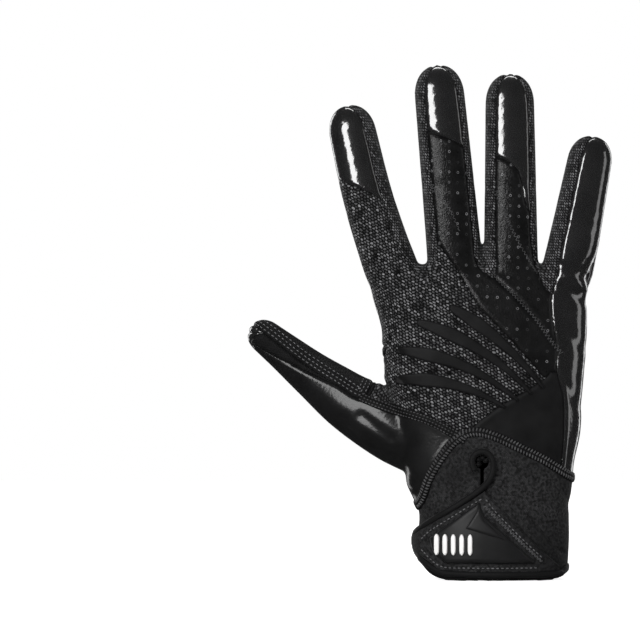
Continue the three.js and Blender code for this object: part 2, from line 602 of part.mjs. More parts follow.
const bindingLine = curve(bindingPath, bindingSteps);
const bindingAngles = Array.from({ length: bindingSides }, (_, i) => (i + 0.5) * 2 * Math.PI / bindingSides);
const binding = loft(bindingLine.map((point, i) => {
  const share = THREE.MathUtils.clamp(i / bindingLine.length / bindingClimb, 0, 1);
  const lift = THREE.MathUtils.lerp(bindingLift, flapBase - seamGap + bindingHeight / 2, share);
  const at = ({ x, y }, level) => onCuff([x / palmWidth, y / palmLength], flapTop, level);
  const before = bindingLine[Math.max(i - 1, 0)];
  const after = bindingLine[Math.min(i + 1, bindingLine.length - 1)];
  const middle = at(point, lift);
  const out = at(point, lift + 1).sub(middle).normalize();
  const side = out.clone().cross(at(after, lift).sub(at(before, lift))).normalize();
  return bindingAngles.map((angle) => middle.clone()
    .addScaledVector(side, Math.cos(angle) * bindingWidth / 2)
    .addScaledVector(out, Math.sin(angle) * bindingHeight / 2));
}));
const patch = layer(places(patchOutline), seamGap, patchTop);
const pad = layer(places(padOutline), padBase, padBase + padThickness);
const ribs = Array.from({ length: ribCount }, (_, i) => {
  const middle = place(ribCentre).add(new THREE.Vector2((i - (ribCount - 1) / 2) * ribPitch, 0));
  const half = new THREE.Vector2(0, ribLength / 2);
  const outline = strip([middle.clone().sub(half), middle.clone().add(half)], ribWidth);
  return layer(outline, padBase + padThickness + seamGap, padBase + padThickness + seamGap + ribHeight);
});
const hem = hand(hemBulge).subtract(hand(-hemBulge, true))
  .intersect(belowHem(hemHeight))
  .subtract(belowHem(0));

// Materials
const finish = (color, roughness) => new THREE.MeshStandardMaterial({ color, roughness });
const glossLeather = finish(0x151515, 0.12);
const knit = finish(0x1c1c1c, 0.85);
const pinholeKnit = finish(0x121212, 0.6);
const smoothKnit = finish(0x191919, 0.55);
const stripKnit = finish(0x161616, 0.9);
const neoprene = finish(0x181818, 0.75);
const bindingTape = finish(0x111111, 0.65);
const rubber = finish(0x131313, 0.5);
const whiteRubber = finish(0xe8e6e4, 0.45);
const thread = finish(0x2a2a2a, 0.7);

// The glove
const glove = new THREE.Group();
function piece(name, solid, material) {
  const mesh = new THREE.Mesh(toGeometry(solid), material);
  mesh.name = name;
  glove.add(mesh);
}

piece('palm_panel', panelAt([0.1, 0.6], palmOf), glossLeather);
piece('thumb_palm_panel', panelAt([-0.35, 0.45], palmOf), glossLeather);
piece('thumb_back_panel', panelAt([-0.42, 0.42], backOf), glossLeather);
piece('thumb_side_strip', panelAt([-0.56, 0.62], backOf), stripKnit);
piece('thumb_web_panel', panelAt([-0.47, 0.72], palmOf), stripKnit);
piece('side_panel', panelAt([0.39, 0.7], backOf), glossLeather);
piece('index_tip_cap', panelAt([-0.66, 1.4], backOf), glossLeather);
piece('middle_tip_cap', panelAt([-0.24, 1.55], backOf), glossLeather);
piece('ring_tip_cap', panelAt([0.08, 1.5], backOf), glossLeather);
piece('knit_back_panel', panelAt([-0.3, 0.7], backOf), knit);
piece('pinhole_middle_panel', panelAt([-0.05, 0.93], backOf), pinholeKnit);
piece('pinhole_ring_panel', panelAt([0.2, 0.9], backOf), pinholeKnit);
piece('smooth_heel_panel', panelAt([0.2, 0.5], backOf), smoothKnit);
piece('index_middle_strip', panelAt([-0.414, 1.1], backOf), stripKnit);
piece('middle_ring_strip', panelAt([-0.02, 1.08], backOf), stripKnit);
piece('ring_pinky_strip', panelAt([0.23, 1.03], backOf), stripKnit);
piece('cuff', panelAt([0.2, 0.2], backOf), neoprene);
piece('wrist_seam', wristTrim, thread);
fins.forEach((fin, i) => piece(`back_fin_${i + 1}`, finTrim(fin), smoothKnit));
piece('closure_patch', patch, rubber);
piece('closure_flap', flap, neoprene);
piece('flap_binding', binding, bindingTape);
piece('flap_pad', pad, rubber);
ribs.forEach((rib, i) => piece(`grip_rib_${i + 1}`, rib, whiteRubber));
piece('hem_binding', hem, bindingTape);

export default glove;
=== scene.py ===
# %% [markdown]
# A receiver glove is a thin shell that has taken the shape of a hand: a glossy grip palm, knit panels on the
# back, and a neoprene cuff that a flap closes. This lesson builds it as a maker would. First comes one smooth
# hand, then the seams cut it into panels, then each panel gets its cloth, its stitches and its trims.

# %% Load the frame
import json
import math

import bpy
import numpy as np
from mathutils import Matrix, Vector, kdtree
from mathutils.bvhtree import BVHTree


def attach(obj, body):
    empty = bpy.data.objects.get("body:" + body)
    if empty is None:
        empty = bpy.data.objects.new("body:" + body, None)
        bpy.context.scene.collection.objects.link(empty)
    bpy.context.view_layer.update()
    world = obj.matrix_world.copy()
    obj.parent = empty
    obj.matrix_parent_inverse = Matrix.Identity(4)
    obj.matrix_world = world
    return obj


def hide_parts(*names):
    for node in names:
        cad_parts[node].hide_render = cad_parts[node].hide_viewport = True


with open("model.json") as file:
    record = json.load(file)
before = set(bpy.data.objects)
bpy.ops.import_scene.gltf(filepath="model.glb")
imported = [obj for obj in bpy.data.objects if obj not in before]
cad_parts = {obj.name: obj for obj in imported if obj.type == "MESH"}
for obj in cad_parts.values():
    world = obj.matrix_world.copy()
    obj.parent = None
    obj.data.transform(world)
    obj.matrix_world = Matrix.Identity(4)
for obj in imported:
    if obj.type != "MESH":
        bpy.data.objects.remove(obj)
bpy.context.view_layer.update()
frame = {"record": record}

# %% [markdown]
# All shapes are worked out in millimetres, because that is how a glove is measured, and turned into metres
# only when a mesh is made. The hand stands with its fingers along +Z, its palm towards +Y and its little
# finger towards +X. Places are written as shares of the palm's width and length.

# %% Sizes of the hand
MM = 0.001
PALM_LENGTH = 150.0
PALM_WIDTH = 105.0
PALM_DEPTH = 40.0
THUMB_WIDTH = 33.0
THUMB_TIP = 0.29 * THUMB_WIDTH
CURL = 9.0
FINGER_FLATNESS = 0.83
TIP_ROUNDING = 0.62
LIMB_SQUARE = 2.25
DOME_POWER = 0.85
HAND_WALL = 1.3
CUFF_WALL = 2.1

# root across, length, lean in degrees, bow, tip and root widths, side seams towards thumb and little finger
FINGERS = {
    "index": (-0.469, 79.5, -14.7, -2.2, 22.0, 25.6, 1.0, 0.55),
    "middle": (-0.171, 97.0, -5.2, 0.0, 23.5, 26.5, 0.66, 0.76),
    "ring": (0.082, 92.4, -0.2, 0.0, 23.0, 26.0, 0.64, 0.78),
    "pinky": (0.348, 63.4, 11.2, 0.0, 20.5, 25.0, 0.48, 1.0),
}
# up, thumb's edge, little finger's edge, back, front, how square, hollow of the palm
PALM_ROWS = np.array([
    (0.0, -0.333, 0.338, -0.6, 0.6, 2.1, 0.0),
    (0.12, -0.343, 0.348, -0.6, 0.6, 2.1, 0.0),
    (0.22, -0.338, 0.348, -0.56, 0.55, 2.2, 0.0),
    (0.3, -0.385, 0.362, -0.51, 0.55, 2.3, 0.04),
    (0.38, -0.42, 0.375, -0.47, 0.55, 2.4, 0.08),
    (0.47, -0.45, 0.4, -0.45, 0.54, 2.5, 0.12),
    (0.58, -0.48, 0.407, -0.44, 0.5, 2.6, 0.14),
    (0.66, -0.5, 0.416, -0.43, 0.45, 2.6, 0.13),
    (0.73, -0.506, 0.425, -0.425, 0.41, 2.6, 0.1),
    (0.8, -0.51, 0.43, -0.41, 0.38, 2.6, 0.07),
    (0.87, -0.54, 0.432, -0.38, 0.35, 2.6, 0.04),
    (0.925, -0.56, 0.436, -0.34, 0.31, 2.6, 0.02),
    (0.965, -0.565, 0.44, -0.29, 0.28, 2.6, 0.0),
    (0.99, -0.53, 0.42, -0.22, 0.22, 2.6, 0.0),
    (1.005, -0.46, 0.36, -0.1, 0.1, 2.6, 0.0),
])
# across, up, deep, width, depth
THUMB_ROWS = np.array([
    (-0.24, 0.4, 0.1, 0.95, 0.9),
    (-0.45, 0.483, 0.2, 1.03, 0.98),
    (-0.652, 0.563, 0.32, 0.88, 0.86),
    (-0.818, 0.647, 0.44, 0.68, 0.72),
    (-0.948, 0.72, 0.52, 0.56, 0.64),
    (-1.035, 0.768, 0.56, 0.5, 0.58),
])
print("fingers:", list(FINGERS), "rows of the palm:", len(PALM_ROWS), "and of the thumb:", len(THUMB_ROWS))

# %% [markdown]
# A smooth line through a few chosen points is the tool used most here: for the hand's sections, the middle of
# each finger and every seam. A Catmull-Rom curve passes through its points, so a seam goes where it is put.

# %% Smooth lines
def smooth_line(points, steps):
    """A centripetal Catmull-Rom curve through the points, with so many steps from one to the next."""
    points = np.asarray(points, float)
    line = []
    for i in range(len(points) - 1):
        p1, p2 = points[i], points[i + 1]
        p0 = points[i - 1] if i > 0 else 2 * p1 - p2
        p3 = points[i + 2] if i + 2 < len(points) else 2 * p2 - p1
        d0, d1, d2 = [max(np.linalg.norm(b - a), 1e-6) ** 0.5 for a, b in ((p0, p1), (p1, p2), (p2, p3))]
        t1 = ((p1 - p0) / d0 - (p2 - p0) / (d0 + d1) + (p2 - p1) / d1) * d1
        t2 = ((p2 - p1) / d1 - (p3 - p1) / (d1 + d2) + (p3 - p2) / d2) * d1
        t = np.linspace(0, 1, steps, endpoint=False)[:, None]
        squared = -3 * p1 + 3 * p2 - 2 * t1 - t2
        cubed = 2 * p1 - 2 * p2 + t1 + t2
        line.append(p1 + t1 * t + squared * t ** 2 + cubed * t ** 3)
    return np.vstack(line + [points[-1:]])


def place(shares):
    """Shares of the palm's width and length, as millimetres across and up."""
    return np.asarray(shares, float) * (PALM_WIDTH, PALM_LENGTH)


def seam(shares, steps=8):
    """A smooth line through places given as shares."""
    return smooth_line(place(shares), steps)


def directions(line):
    """The way along a line at each of its points, one unit long."""
    along = np.gradient(line, axis=0)
    return along / np.maximum(np.linalg.norm(along, axis=1), 1e-9)[:, None]


def beside(line, offset):
    """A flat line moved sideways, to its left where the offset is above nought."""
    along = directions(line)
    return line + np.column_stack([-along[:, 1], along[:, 0]]) * offset


print("a seam of three points has", len(seam([(0, 0), (0.5, 0.2), (1, 0)])), "points")

# %% [markdown]
# The hand is a palm and five limbs. Each is a loft: rings of points along a middle line, joined by quads and
# closed at both ends. A ring is a superellipse, which is an oval whose corners can be filled out a little.

# %% Lofts
def ring(middle, side, deep, half_width, half_depth, square, hollow=0.0, count=40):
    """Points round an oval. Its front can be hollowed, as the palm of a hand is."""
    angle = np.arange(count) * 2 * math.pi / count
    bend = lambda value: np.sign(value) * np.abs(value) ** (2 / square)
    across, depth = bend(np.cos(angle)), bend(np.sin(angle))
    inward = np.where(depth > 0, hollow * np.exp(-(across / 0.5) ** 2), 0)
    return middle + across[:, None] * half_width * side + (depth * half_depth - inward)[:, None] * deep


def loft(rings):
    """Points and faces of a closed body through rings of equal count."""
    count, total = len(rings[0]), len(rings)
    points = np.vstack(rings + [rings[0].mean(0)[None], rings[-1].mean(0)[None]])
    faces = []
    for level in range(total - 1):
        for i in range(count):
            j = (i + 1) % count
            low, high = level * count, (level + 1) * count
            faces.append((low + i, low + j, high + j, high + i))
    top = (total - 1) * count
    for i in range(count):
        j = (i + 1) % count
        faces.append((count * total, j, i))
        faces.append((count * total + 1, top + i, top + j))
    return points, faces


test_ring = ring(np.zeros(3), np.eye(3)[0], np.eye(3)[1], 1, 1, square=4)
print("a ring has", len(test_ring), "points, the farthest at", np.hypot(*test_ring.T[:2]).max().round(2))

# %% [markdown]
# The palm is wide and flat, so its rings are level slices that follow a table of heights. Its front is
# hollowed, as the middle of a palm is.

# %% The palm
X, Y = np.eye(3)[:2]


def palm_loft():
    """The palm and the wrist, one ring for each height."""
    rings = []
    for up, left, right, back, front, square, hollow in smooth_line(PALM_ROWS, 5):
        left, right = left * PALM_WIDTH, right * PALM_WIDTH
        back, front = back * PALM_DEPTH, front * PALM_DEPTH
        middle = np.array([(left + right) / 2, (back + front) / 2, up * PALM_LENGTH])
        halves = (right - left) / 2, (front - back) / 2
        rings.append(ring(middle, X, Y, *halves, square, hollow * PALM_DEPTH, count=72))
    return loft(rings)


print("rings of the palm:", len(smooth_line(PALM_ROWS, 5)))

# %% [markdown]
# A finger or thumb leans, so its rings stand square to its own middle line. The same rings, made smaller and
# smaller past the end of the line, close it with a dome. Each finger starts inside the palm with a narrower
# ring, so that its root doesn't bulge.

# %% Fingers and thumb
LOFT_STEPS = 7
DOME_ANGLES = np.radians([10, 20, 30, 40, 50, 60, 68, 76, 83])


def limb_loft(spine, widths, depths, tip):
    """A finger or thumb: ovals along a spine, closed by a rounded tip."""
    rings = []
    for middle, along, width, depth in zip(spine, directions(spine), widths, depths):
        side = np.cross(Y, along)
        side /= np.linalg.norm(side)
        rings.append(ring(middle, side, np.cross(along, side), width / 2, depth / 2, LIMB_SQUARE))
    for angle in DOME_ANGLES:
        scale = math.cos(angle) ** DOME_POWER
        centre = middle + along * tip * math.sin(angle)
        halves = width / 2 * scale, depth / 2 * scale
        rings.append(ring(centre, side, np.cross(along, side), *halves, LIMB_SQUARE))
    return loft(rings)


MIDDLE_REACH = FINGERS["middle"][1] * math.cos(math.radians(FINGERS["middle"][2]))


def curl_at(height):
    """How far the fingers lean towards the palm at a height."""
    return CURL * np.maximum(0, (height - PALM_LENGTH) / MIDDLE_REACH) ** 2


def finger_point(name, share):
    """The middle of a finger, at a share of its length from the web."""
    root, length, lean, bow = FINGERS[name][:4]
    lean = math.radians(lean)
    sideways = bow * 4 * share * (1 - share)
    x = root * PALM_WIDTH + share * length * math.sin(lean) + sideways * math.cos(lean)
    z = PALM_LENGTH + share * length * math.cos(lean)
    return np.array([x, curl_at(z), z])


def finger_width(name, share):
    """A finger's width at a share of its length."""
    tip, root = FINGERS[name][4:6]
    return root + (tip - root) * min(max(share, 0), 1)


def last_share(name):
    """The share of a finger's length where its rounded tip starts."""
    return 1 - TIP_ROUNDING * FINGERS[name][4] / FINGERS[name][1]


def finger_loft(name):
    """A finger, from a narrower root inside the palm to its tip."""
    last = last_share(name)
    rows = []
    for share, narrowed in ((-0.3, 0.8), (-0.06, 1), (0.15, 1), (0.45, 1), (last, 1)):
        rows.append((*finger_point(name, share), finger_width(name, share) * narrowed))
    line = smooth_line(rows, LOFT_STEPS)
    return limb_loft(line[:, :3], line[:, 3], line[:, 3] * FINGER_FLATNESS, (1 - last) * FINGERS[name][1])


def thumb_line(steps):
    """The thumb's middle line with its widths and depths, in millimetres."""
    return smooth_line(THUMB_ROWS * (PALM_WIDTH, PALM_LENGTH, PALM_DEPTH, THUMB_WIDTH, THUMB_WIDTH), steps)


def thumb_loft():
    line = thumb_line(LOFT_STEPS)
    return limb_loft(line[:, [0, 2, 1]], line[:, 3], line[:, 4], THUMB_TIP)


lofts = [palm_loft(), *[finger_loft(name) for name in FINGERS], thumb_loft()]
print("lofts:", [len(points) for points, faces in lofts])

# %% [markdown]
# Points and faces become an object here, and an object with a modifier becomes points and faces again. All
# later steps are worked out on plain arrays, which is quick and keeps the scene free of helper objects.

# %% Objects from points and back
def new_object(name, points, faces):
    """An object in metres from points in millimetres."""
    mesh = bpy.data.meshes.new(name)
    mesh.from_pydata([tuple(p) for p in np.asarray(points) * MM], [], [tuple(map(int, f)) for f in faces])
    obj = bpy.data.objects.new(name, mesh)
    bpy.context.scene.collection.objects.link(obj)
    return obj


def final_mesh(obj):
    """An object's points and faces after its modifiers, with the object itself deleted."""
    shown = obj.evaluated_get(bpy.context.evaluated_depsgraph_get())
    mesh = shown.to_mesh()
    mesh.calc_loop_triangles()
    points = np.empty(len(mesh.vertices) * 3)
    mesh.vertices.foreach_get("co", points)
    triangles = np.empty(len(mesh.loop_triangles) * 3, int)
    mesh.loop_triangles.foreach_get("vertices", triangles)
    shown.to_mesh_clear()
    bpy.data.objects.remove(obj)
    return points.reshape(-1, 3) / MM, triangles.reshape(-1, 3)


def joined(parts):
    """Many bodies as one list of points and one of faces."""
    points, faces, start = [], [], 0
    for part_points, part_faces in parts:
        points.append(part_points)
        faces += [tuple(i + start for i in face) for face in part_faces]
        start += len(part_points)
    return np.vstack(points), faces


rough = new_object("rough_hand", *joined(lofts))
print("rough hand:", len(rough.data.vertices), "points")

# %% [markdown]
# The six lofts overlap, and a hand has no creases where they meet. Boolean unions would leave sharp lines.
# Blender's voxel remesh takes everything that is inside any of them as one body and lays an even grid of
# quads over it. A few rounds of smoothing then blend the webs between the fingers. The second half of each
# round pushes back, so no tip shrinks.

# %% One smooth hand
FINE_VOXEL = 0.85
VOXEL = FINE_VOXEL
GRID_ROUNDS, BLEND_ROUNDS = 4, 24


def all_edges(faces):
    """The three directed edges of every triangle."""
    return np.vstack([faces[:, [0, 1]], faces[:, [1, 2]], faces[:, [2, 0]]])


def smoothed(points, faces, rounds, inward=0.5, outward=-0.52):
    """Points moved towards the mean of their neighbours, and as far back again, in rounds."""
    edges = np.unique(np.sort(all_edges(faces), axis=1), axis=0)
    start, end = np.vstack([edges, edges[:, ::-1]]).T
    count = np.bincount(start, minlength=len(points))
    for _ in range(rounds):
        for factor in (inward, outward):
            total = np.stack([np.bincount(start, points[end, k], len(points)) for k in range(3)], 1)
            points = points + factor * (total / count[:, None] - points)
    return points


def vertex_normals(points, faces):
    """The way out of the surface at each point: the sum of the normals of its faces, by their size."""
    a, b, c = (points[faces[:, k]] for k in range(3))
    face_normals = np.cross(b - a, c - a)
    normals = np.stack([sum(np.bincount(faces[:, k], face_normals[:, axis], len(points)) for k in range(3))
                        for axis in range(3)], 1)
    return normals / np.maximum(np.linalg.norm(normals, axis=1), 1e-12)[:, None]


remesh = rough.modifiers.new("even_grid", "REMESH")
remesh.mode = "VOXEL"
remesh.voxel_size = VOXEL * MM
points, faces = final_mesh(rough)
points = smoothed(points, faces, GRID_ROUNDS, outward=0)
points = smoothed(points, faces, round(BLEND_ROUNDS * (FINE_VOXEL / VOXEL) ** 2))
print("hand:", len(points), "points", len(faces), "triangles", points.min(0).round(1), points.max(0).round(1))

# %% [markdown]
# Worn cloth is never quite smooth. It sinks where the hand bends and swells over the heel of the hand, and it
# creases across the way that it is pressed. Each fold here is a short line on the back or the palm. The skin
# moves along its own normal by a bell-shaped amount around that line, so folds stay soft and can cross.

# %% Folds and creases
BACK, PALM = -1, 1
# face, from, to, width in mm, depth in mm (below nought: a swelling)
FOLDS = [
    (BACK, (0.46, 0.975), (0.47, 0.96), 7.0, 2.6),
    (PALM, (0.45, 0.88), (0.44, 0.87), 9.0, 1.1),
    (BACK, (-0.44, 0.27), (-0.43, 0.26), 7.0, -3.4),
    (PALM, (-0.44, 0.27), (-0.43, 0.26), 7.0, -2.0),
    (PALM, (-0.56, 0.62), (-0.55, 0.61), 9.0, 1.9),
    (BACK, (-0.5, 0.9), (-0.49, 0.88), 8.0, 1.1),
    # the edge of the hand below the little finger
    (BACK, (0.31, 1.0), (0.47, 0.955), 2.2, 1.0),
    (BACK, (0.33, 0.965), (0.47, 0.91), 1.8, -0.5),
    (BACK, (0.34, 0.93), (0.46, 0.87), 2.4, 0.7),
    (BACK, (0.33, 0.8), (0.41, 0.74), 3.0, 0.5),
    (BACK, (0.33, 0.62), (0.4, 0.55), 3.0, 0.5),
    # the crotch of the thumb
    (BACK, (-0.47, 0.78), (-0.4, 0.69), 1.8, 0.9),
    (BACK, (-0.5, 0.69), (-0.4, 0.62), 1.8, 1.0),
    (BACK, (-0.5, 0.645), (-0.36, 0.575), 1.6, -0.5),
    (BACK, (-0.55, 0.6), (-0.42, 0.52), 2.0, 0.8),
    (BACK, (-0.6, 0.52), (-0.47, 0.45), 3.0, 0.7),
    (BACK, (-0.46, 0.38), (-0.36, 0.31), 2.6, 0.8),
    (BACK, (-0.43, 0.3), (-0.35, 0.27), 1.8, 0.7),
    # the cuff, below the little finger's side of the wrist seam
    (BACK, (0.195, 0.315), (0.251, 0.246), 1.1, 0.7),
    (BACK, (0.215, 0.3), (0.275, 0.23), 3.0, -0.6),
    (BACK, (0.154, 0.207), (0.317, 0.085), 1.2, 0.9),
    (BACK, (0.13, 0.18), (0.28, 0.07), 3.5, -0.5),
    (BACK, (0.312, 0.304), (0.36, 0.22), 1.4, 0.8),
    # the palm's own lines
    (PALM, (-0.38, 0.83), (0.05, 0.7), 2.6, 0.8),
    (PALM, (-0.12, 0.86), (0.38, 0.74), 2.6, 0.8),
    (PALM, (-0.3, 0.76), (-0.1, 0.52), 2.8, 0.9),
    (PALM, (0.3, 0.5), (0.37, 0.36), 3.5, 0.7),
    (PALM, (-0.5, 0.95), (-0.42, 0.8), 2.6, 0.6),
    (PALM, (-0.62, 0.55), (-0.5, 0.46), 2.4, 0.7),
    (PALM, (-0.78, 0.62), (-0.7, 0.55), 2.4, 0.5),
]
# creases over the finger joints: finger, face, share of its length, width, depth
KNUCKLES = [
    ("index", BACK, 0.36, 2.4, 0.45), ("index", BACK, 0.43, 2.0, 0.35), ("index", PALM, 0.38, 2.6, 0.8),
    ("middle", BACK, 0.4, 2.6, 0.4), ("middle", PALM, 0.4, 2.6, 0.8), ("middle", PALM, 0.72, 2.2, 0.5),
    ("ring", BACK, 0.41, 2.6, 0.4), ("ring", PALM, 0.4, 2.6, 0.8), ("ring", PALM, 0.72, 2.2, 0.5),
    ("pinky", BACK, 0.3, 2.4, 0.6), ("pinky", BACK, 0.4, 2.0, 0.4), ("pinky", PALM, 0.38, 2.4, 0.7),
    ("index", PALM, 0.72, 2.2, 0.5),
]


print("folds:", len(FOLDS), "and creases over joints:", len(KNUCKLES))

# %% [markdown]
# To move the skin, every point needs to know how far it is from each line. Sculpting could do it by eye, but
# a table of lines can be corrected later, one fold at a time. Only the skin that faces the fold's side moves.

# %% Folding the skin
KNUCKLE_REACH = 0.34
FACING_GAIN, FACING_START = 2.5, 0.6


def distance_to_line(where, line):
    """Distance of flat points to a line of points, and the nearest places on it."""
    best = np.full(len(where), np.inf)
    nearest = np.zeros((len(where), 2))
    for a, b in zip(line[:-1], line[1:]):
        span = b - a
        t = np.clip(((where - a) @ span) / max(span @ span, 1e-12), 0, 1)
        foot = a + t[:, None] * span
        away = np.hypot(*(where - foot).T)
        closer = away < best
        best[closer] = away[closer]
        nearest[closer] = foot[closer]
    return best, nearest


def folded(points, faces):
    """The points of the hand, sunk or raised along every fold and crease."""
    normals = vertex_normals(points, faces)
    flat = points[:, [0, 2]]
    move = np.zeros(len(points))
    lines = [(face, place([start, end]), width, depth) for face, start, end, width, depth in FOLDS]
    for name, face, share, width, depth in KNUCKLES:
        lean = math.radians(FINGERS[name][2])
        half = finger_width(name, share) * KNUCKLE_REACH * np.array([math.cos(lean), -math.sin(lean)])
        middle = finger_point(name, share)[[0, 2]]
        lines.append((face, np.array([middle - half, middle + half]), width, depth))
    for face, line, width, depth in lines:
        away, _ = distance_to_line(flat, line)
        facing = np.clip(normals[:, 1] * face * FACING_GAIN + FACING_START, 0, 1)
        move += depth * facing * np.exp(-(away / width) ** 2)
    return points - normals * move[:, None]


smooth_points, points = points, folded(points, faces)
moved = np.linalg.norm(points - smooth_points, axis=1)
print("the folds move the skin by at most", moved.max().round(1), "mm")

# %% [markdown]
# A glove's pattern is a set of flat pieces, and its seams are where they meet. They could be drawn on the
# mesh by hand, but a few places on the back view say the same in less. Each seam is a line of (across, up)
# shares, and the strips between the fingers follow the fingers that they join.

# %% Seam lines
INDEX_CAP = seam([(-0.78, 1.29), (-0.718, 1.277), (-0.649, 1.256), (-0.575, 1.235), (-0.485, 1.205)])
MIDDLE_CAP = seam([(-0.33, 1.435), (-0.297, 1.43), (-0.251, 1.418), (-0.197, 1.403), (-0.133, 1.382),
                   (-0.08, 1.36)])
RING_CAP = seam([(-0.02, 1.355), (0.027, 1.344), (0.078, 1.328), (0.11, 1.305), (0.133, 1.262), (0.15, 1.2),
                 (0.21, 1.13)])
KNIT = seam([(-0.32, 1.12), (-0.266, 1.084), (-0.231, 1.046), (-0.178, 0.998), (-0.126, 0.937),
             (-0.065, 0.867), (0.018, 0.806), (0.098, 0.746), (0.166, 0.694), (0.238, 0.643), (0.288, 0.66)])
PINHOLE = seam([(0.005, 0.985), (0.005, 0.966), (0.082, 0.912), (0.187, 0.832), (0.272, 0.75), (0.31, 0.72)])
SIDE = seam([(0.265, 0.93), (0.262, 0.86), (0.276, 0.79), (0.29, 0.72), (0.288, 0.66), (0.318, 0.59),
             (0.322, 0.46), (0.31, 0.34), (0.3, 0.25)])
HEEL = seam([(0.26, 0.66), (0.238, 0.643), (0.192, 0.62), (0.037, 0.557), (-0.018, 0.531), (-0.1, 0.48),
             (-0.11, 0.42)])
WRIST = seam([(-0.44, 0.19), (-0.345, 0.243), (-0.297, 0.325), (-0.238, 0.394), (-0.179, 0.443),
              (-0.121, 0.467), (-0.063, 0.47), (0.025, 0.451), (0.112, 0.422), (0.229, 0.382), (0.346, 0.333),
              (0.44, 0.3)])
THUMB_BACK = seam([(-0.13, 0.446), (-0.179, 0.464), (-0.297, 0.506), (-0.475, 0.546), (-0.59, 0.577),
                   (-0.61, 0.585)])
PALM_CUFF_THUMB = seam([(-0.44, 0.262), (-0.36, 0.26), (-0.315, 0.25), (-0.296, 0.2), (-0.278, 0.13),
                        (-0.262, 0.06), (-0.25, -0.1)])
PALM_CUFF_PINKY = seam([(0.44, 0.345), (0.346, 0.32), (0.245, 0.24), (0.2, 0.13), (0.182, -0.1)])
THUMB_PALM = seam([(-0.425, 0.787), (-0.411, 0.778), (-0.312, 0.715), (-0.224, 0.635), (-0.181, 0.538),
                   (-0.168, 0.464), (-0.19, 0.384), (-0.268, 0.317), (-0.345, 0.285), (-0.42, 0.275),
                   (-0.52, 0.27)])
THUMB_WEB_BACK = [(-0.7, 0.612), (-0.62, 0.578), (-0.59, 0.577), (-0.545, 0.63), (-0.525, 0.68), (-0.6, 0.76)]
THUMB_WEB_PALM = [(-0.7, 0.62), (-0.6, 0.575), (-0.496, 0.547), (-0.455, 0.65), (-0.411, 0.778), (-0.6, 0.84)]
HEM_EDGE = seam([(-0.45, 0.09), (-0.345, 0.055), (-0.3, 0.022), (-0.25, 0.004), (-0.2, 0), (0.25, 0),
                 (0.31, 0.007), (0.345, 0.022), (0.45, 0.05)], 4)
KEYHOLE = place((-0.055, 0.375))
KEYHOLE_RADIUS = 3.2
SLIT_WIDTH = 1.6
FAR = 400.0
print("the wrist seam has", len(WRIST), "points")

# %% [markdown]
# The knit strips run up one side of a finger, down through the web and up the next. Their seams are built
# from the fingers' own middles and widths, so they stay on the sides of the fingers when a finger is changed.

# %% Seams of the strips
PAST_TIP = 16.0
STRIP_END = 0.75
THUMB_STRIP_SIDE = -0.15


def finger_seam(name, side):
    """The seam of the strip along one side of a finger, from the web up and over the tip."""
    length, lean, tip_width = FINGERS[name][1], math.radians(FINGERS[name][2]), FINGERS[name][4]
    share_out = FINGERS[name][6 if side < 0 else 7]
    outward = np.array([math.cos(lean), -math.sin(lean)]) * side * share_out
    upward = np.array([math.sin(lean), math.cos(lean)])
    last = last_share(name)
    middle = lambda share: finger_point(name, share)[[0, 2]]
    line = [middle(share * last / STRIP_END) + outward * finger_width(name, share) / 2
            for share in (0.12, 0.3, 0.5, 0.7)]
    tip = (1 - last) * length
    for angle in np.radians([20, 45, 65, 80, 90]):
        line.append(middle(last) + upward * tip * math.sin(angle) + outward * tip_width / 2 * math.cos(angle))
    return line + [middle(last) + upward * (tip + PAST_TIP)]


WEB_PLACES = {
    ("index", "middle"): [(-0.37, 1.0), (-0.315, 0.968), (-0.28, 1.0)],
    ("middle", "ring"): [(-0.075, 1.015), (-0.035, 0.975), (0.002, 0.964)],
    ("ring", "pinky"): [(0.21, 0.97), (0.235, 0.93), (0.265, 0.912), (0.28, 0.95)],
}
WEBS = {}
for (first, second), web in WEB_PLACES.items():
    line = finger_seam(first, 1)[::-1] + list(place(web)) + finger_seam(second, -1)
    WEBS[f"{first}_{second}_strip"] = smooth_line(line, 6)


def thumb_strip_seam(turn):
    """The seam of the strip along the thumb, from past its tip to the turn at its root."""
    spine = thumb_line(20)
    flat = spine[:, :2]
    along = directions(flat)
    edge = beside(flat, THUMB_STRIP_SIDE * spine[:, 3:4] / 2)
    line = [flat[-1] + along[-1] * (THUMB_TIP + PAST_TIP)]
    line += [edge[round(share * (len(flat) - 1))] for share in (1, 0.85, 0.7)]
    return smooth_line(line + list(place(turn)), 6)


# where the coarse knit of the back gives way to the finer knit of the thumb
THUMB_ROOT = seam([(-0.49, 0.74), (-0.535, 0.62), (-0.575, 0.575), (-0.66, 0.53), (-0.8, 0.47)])
THUMB_STRIP_BACK = thumb_strip_seam(THUMB_WEB_BACK)
THUMB_STRIP_PALM = thumb_strip_seam(THUMB_WEB_PALM)
print("strip seams:", {name: len(line) for name, line in WEBS.items()}, "thumb:", len(THUMB_STRIP_BACK))

# %% [markdown]
# A panel is what lies inside a closed outline on one side of the hand. Boolean cutters could part the panels,
# but thin cloth gives them trouble. Here cutting is a matter of signs: each point gets its distance to the
# outline, counted above nought inside, and a triangle whose corners have different signs is split where the
# distance is nought. The panels meet exactly. A surface through the edge of the hand parts back from palm.

# %% Back and palm
THUMB_TOP, THUMB_FADE, CURL_TOP = 0.74, 0.12, 1.7
PARTING_UP = np.array([(-FAR, 0)] + [(row[0] * PALM_LENGTH, (row[3] + row[4]) / 2 * PALM_DEPTH)
                                     for row in PALM_ROWS])
PARTING_THUMB = np.array([(row[0] * PALM_WIDTH, row[2] * PALM_DEPTH) for row in THUMB_ROWS[::-1]]
                         + [(-0.1 * PALM_WIDTH, 0)])


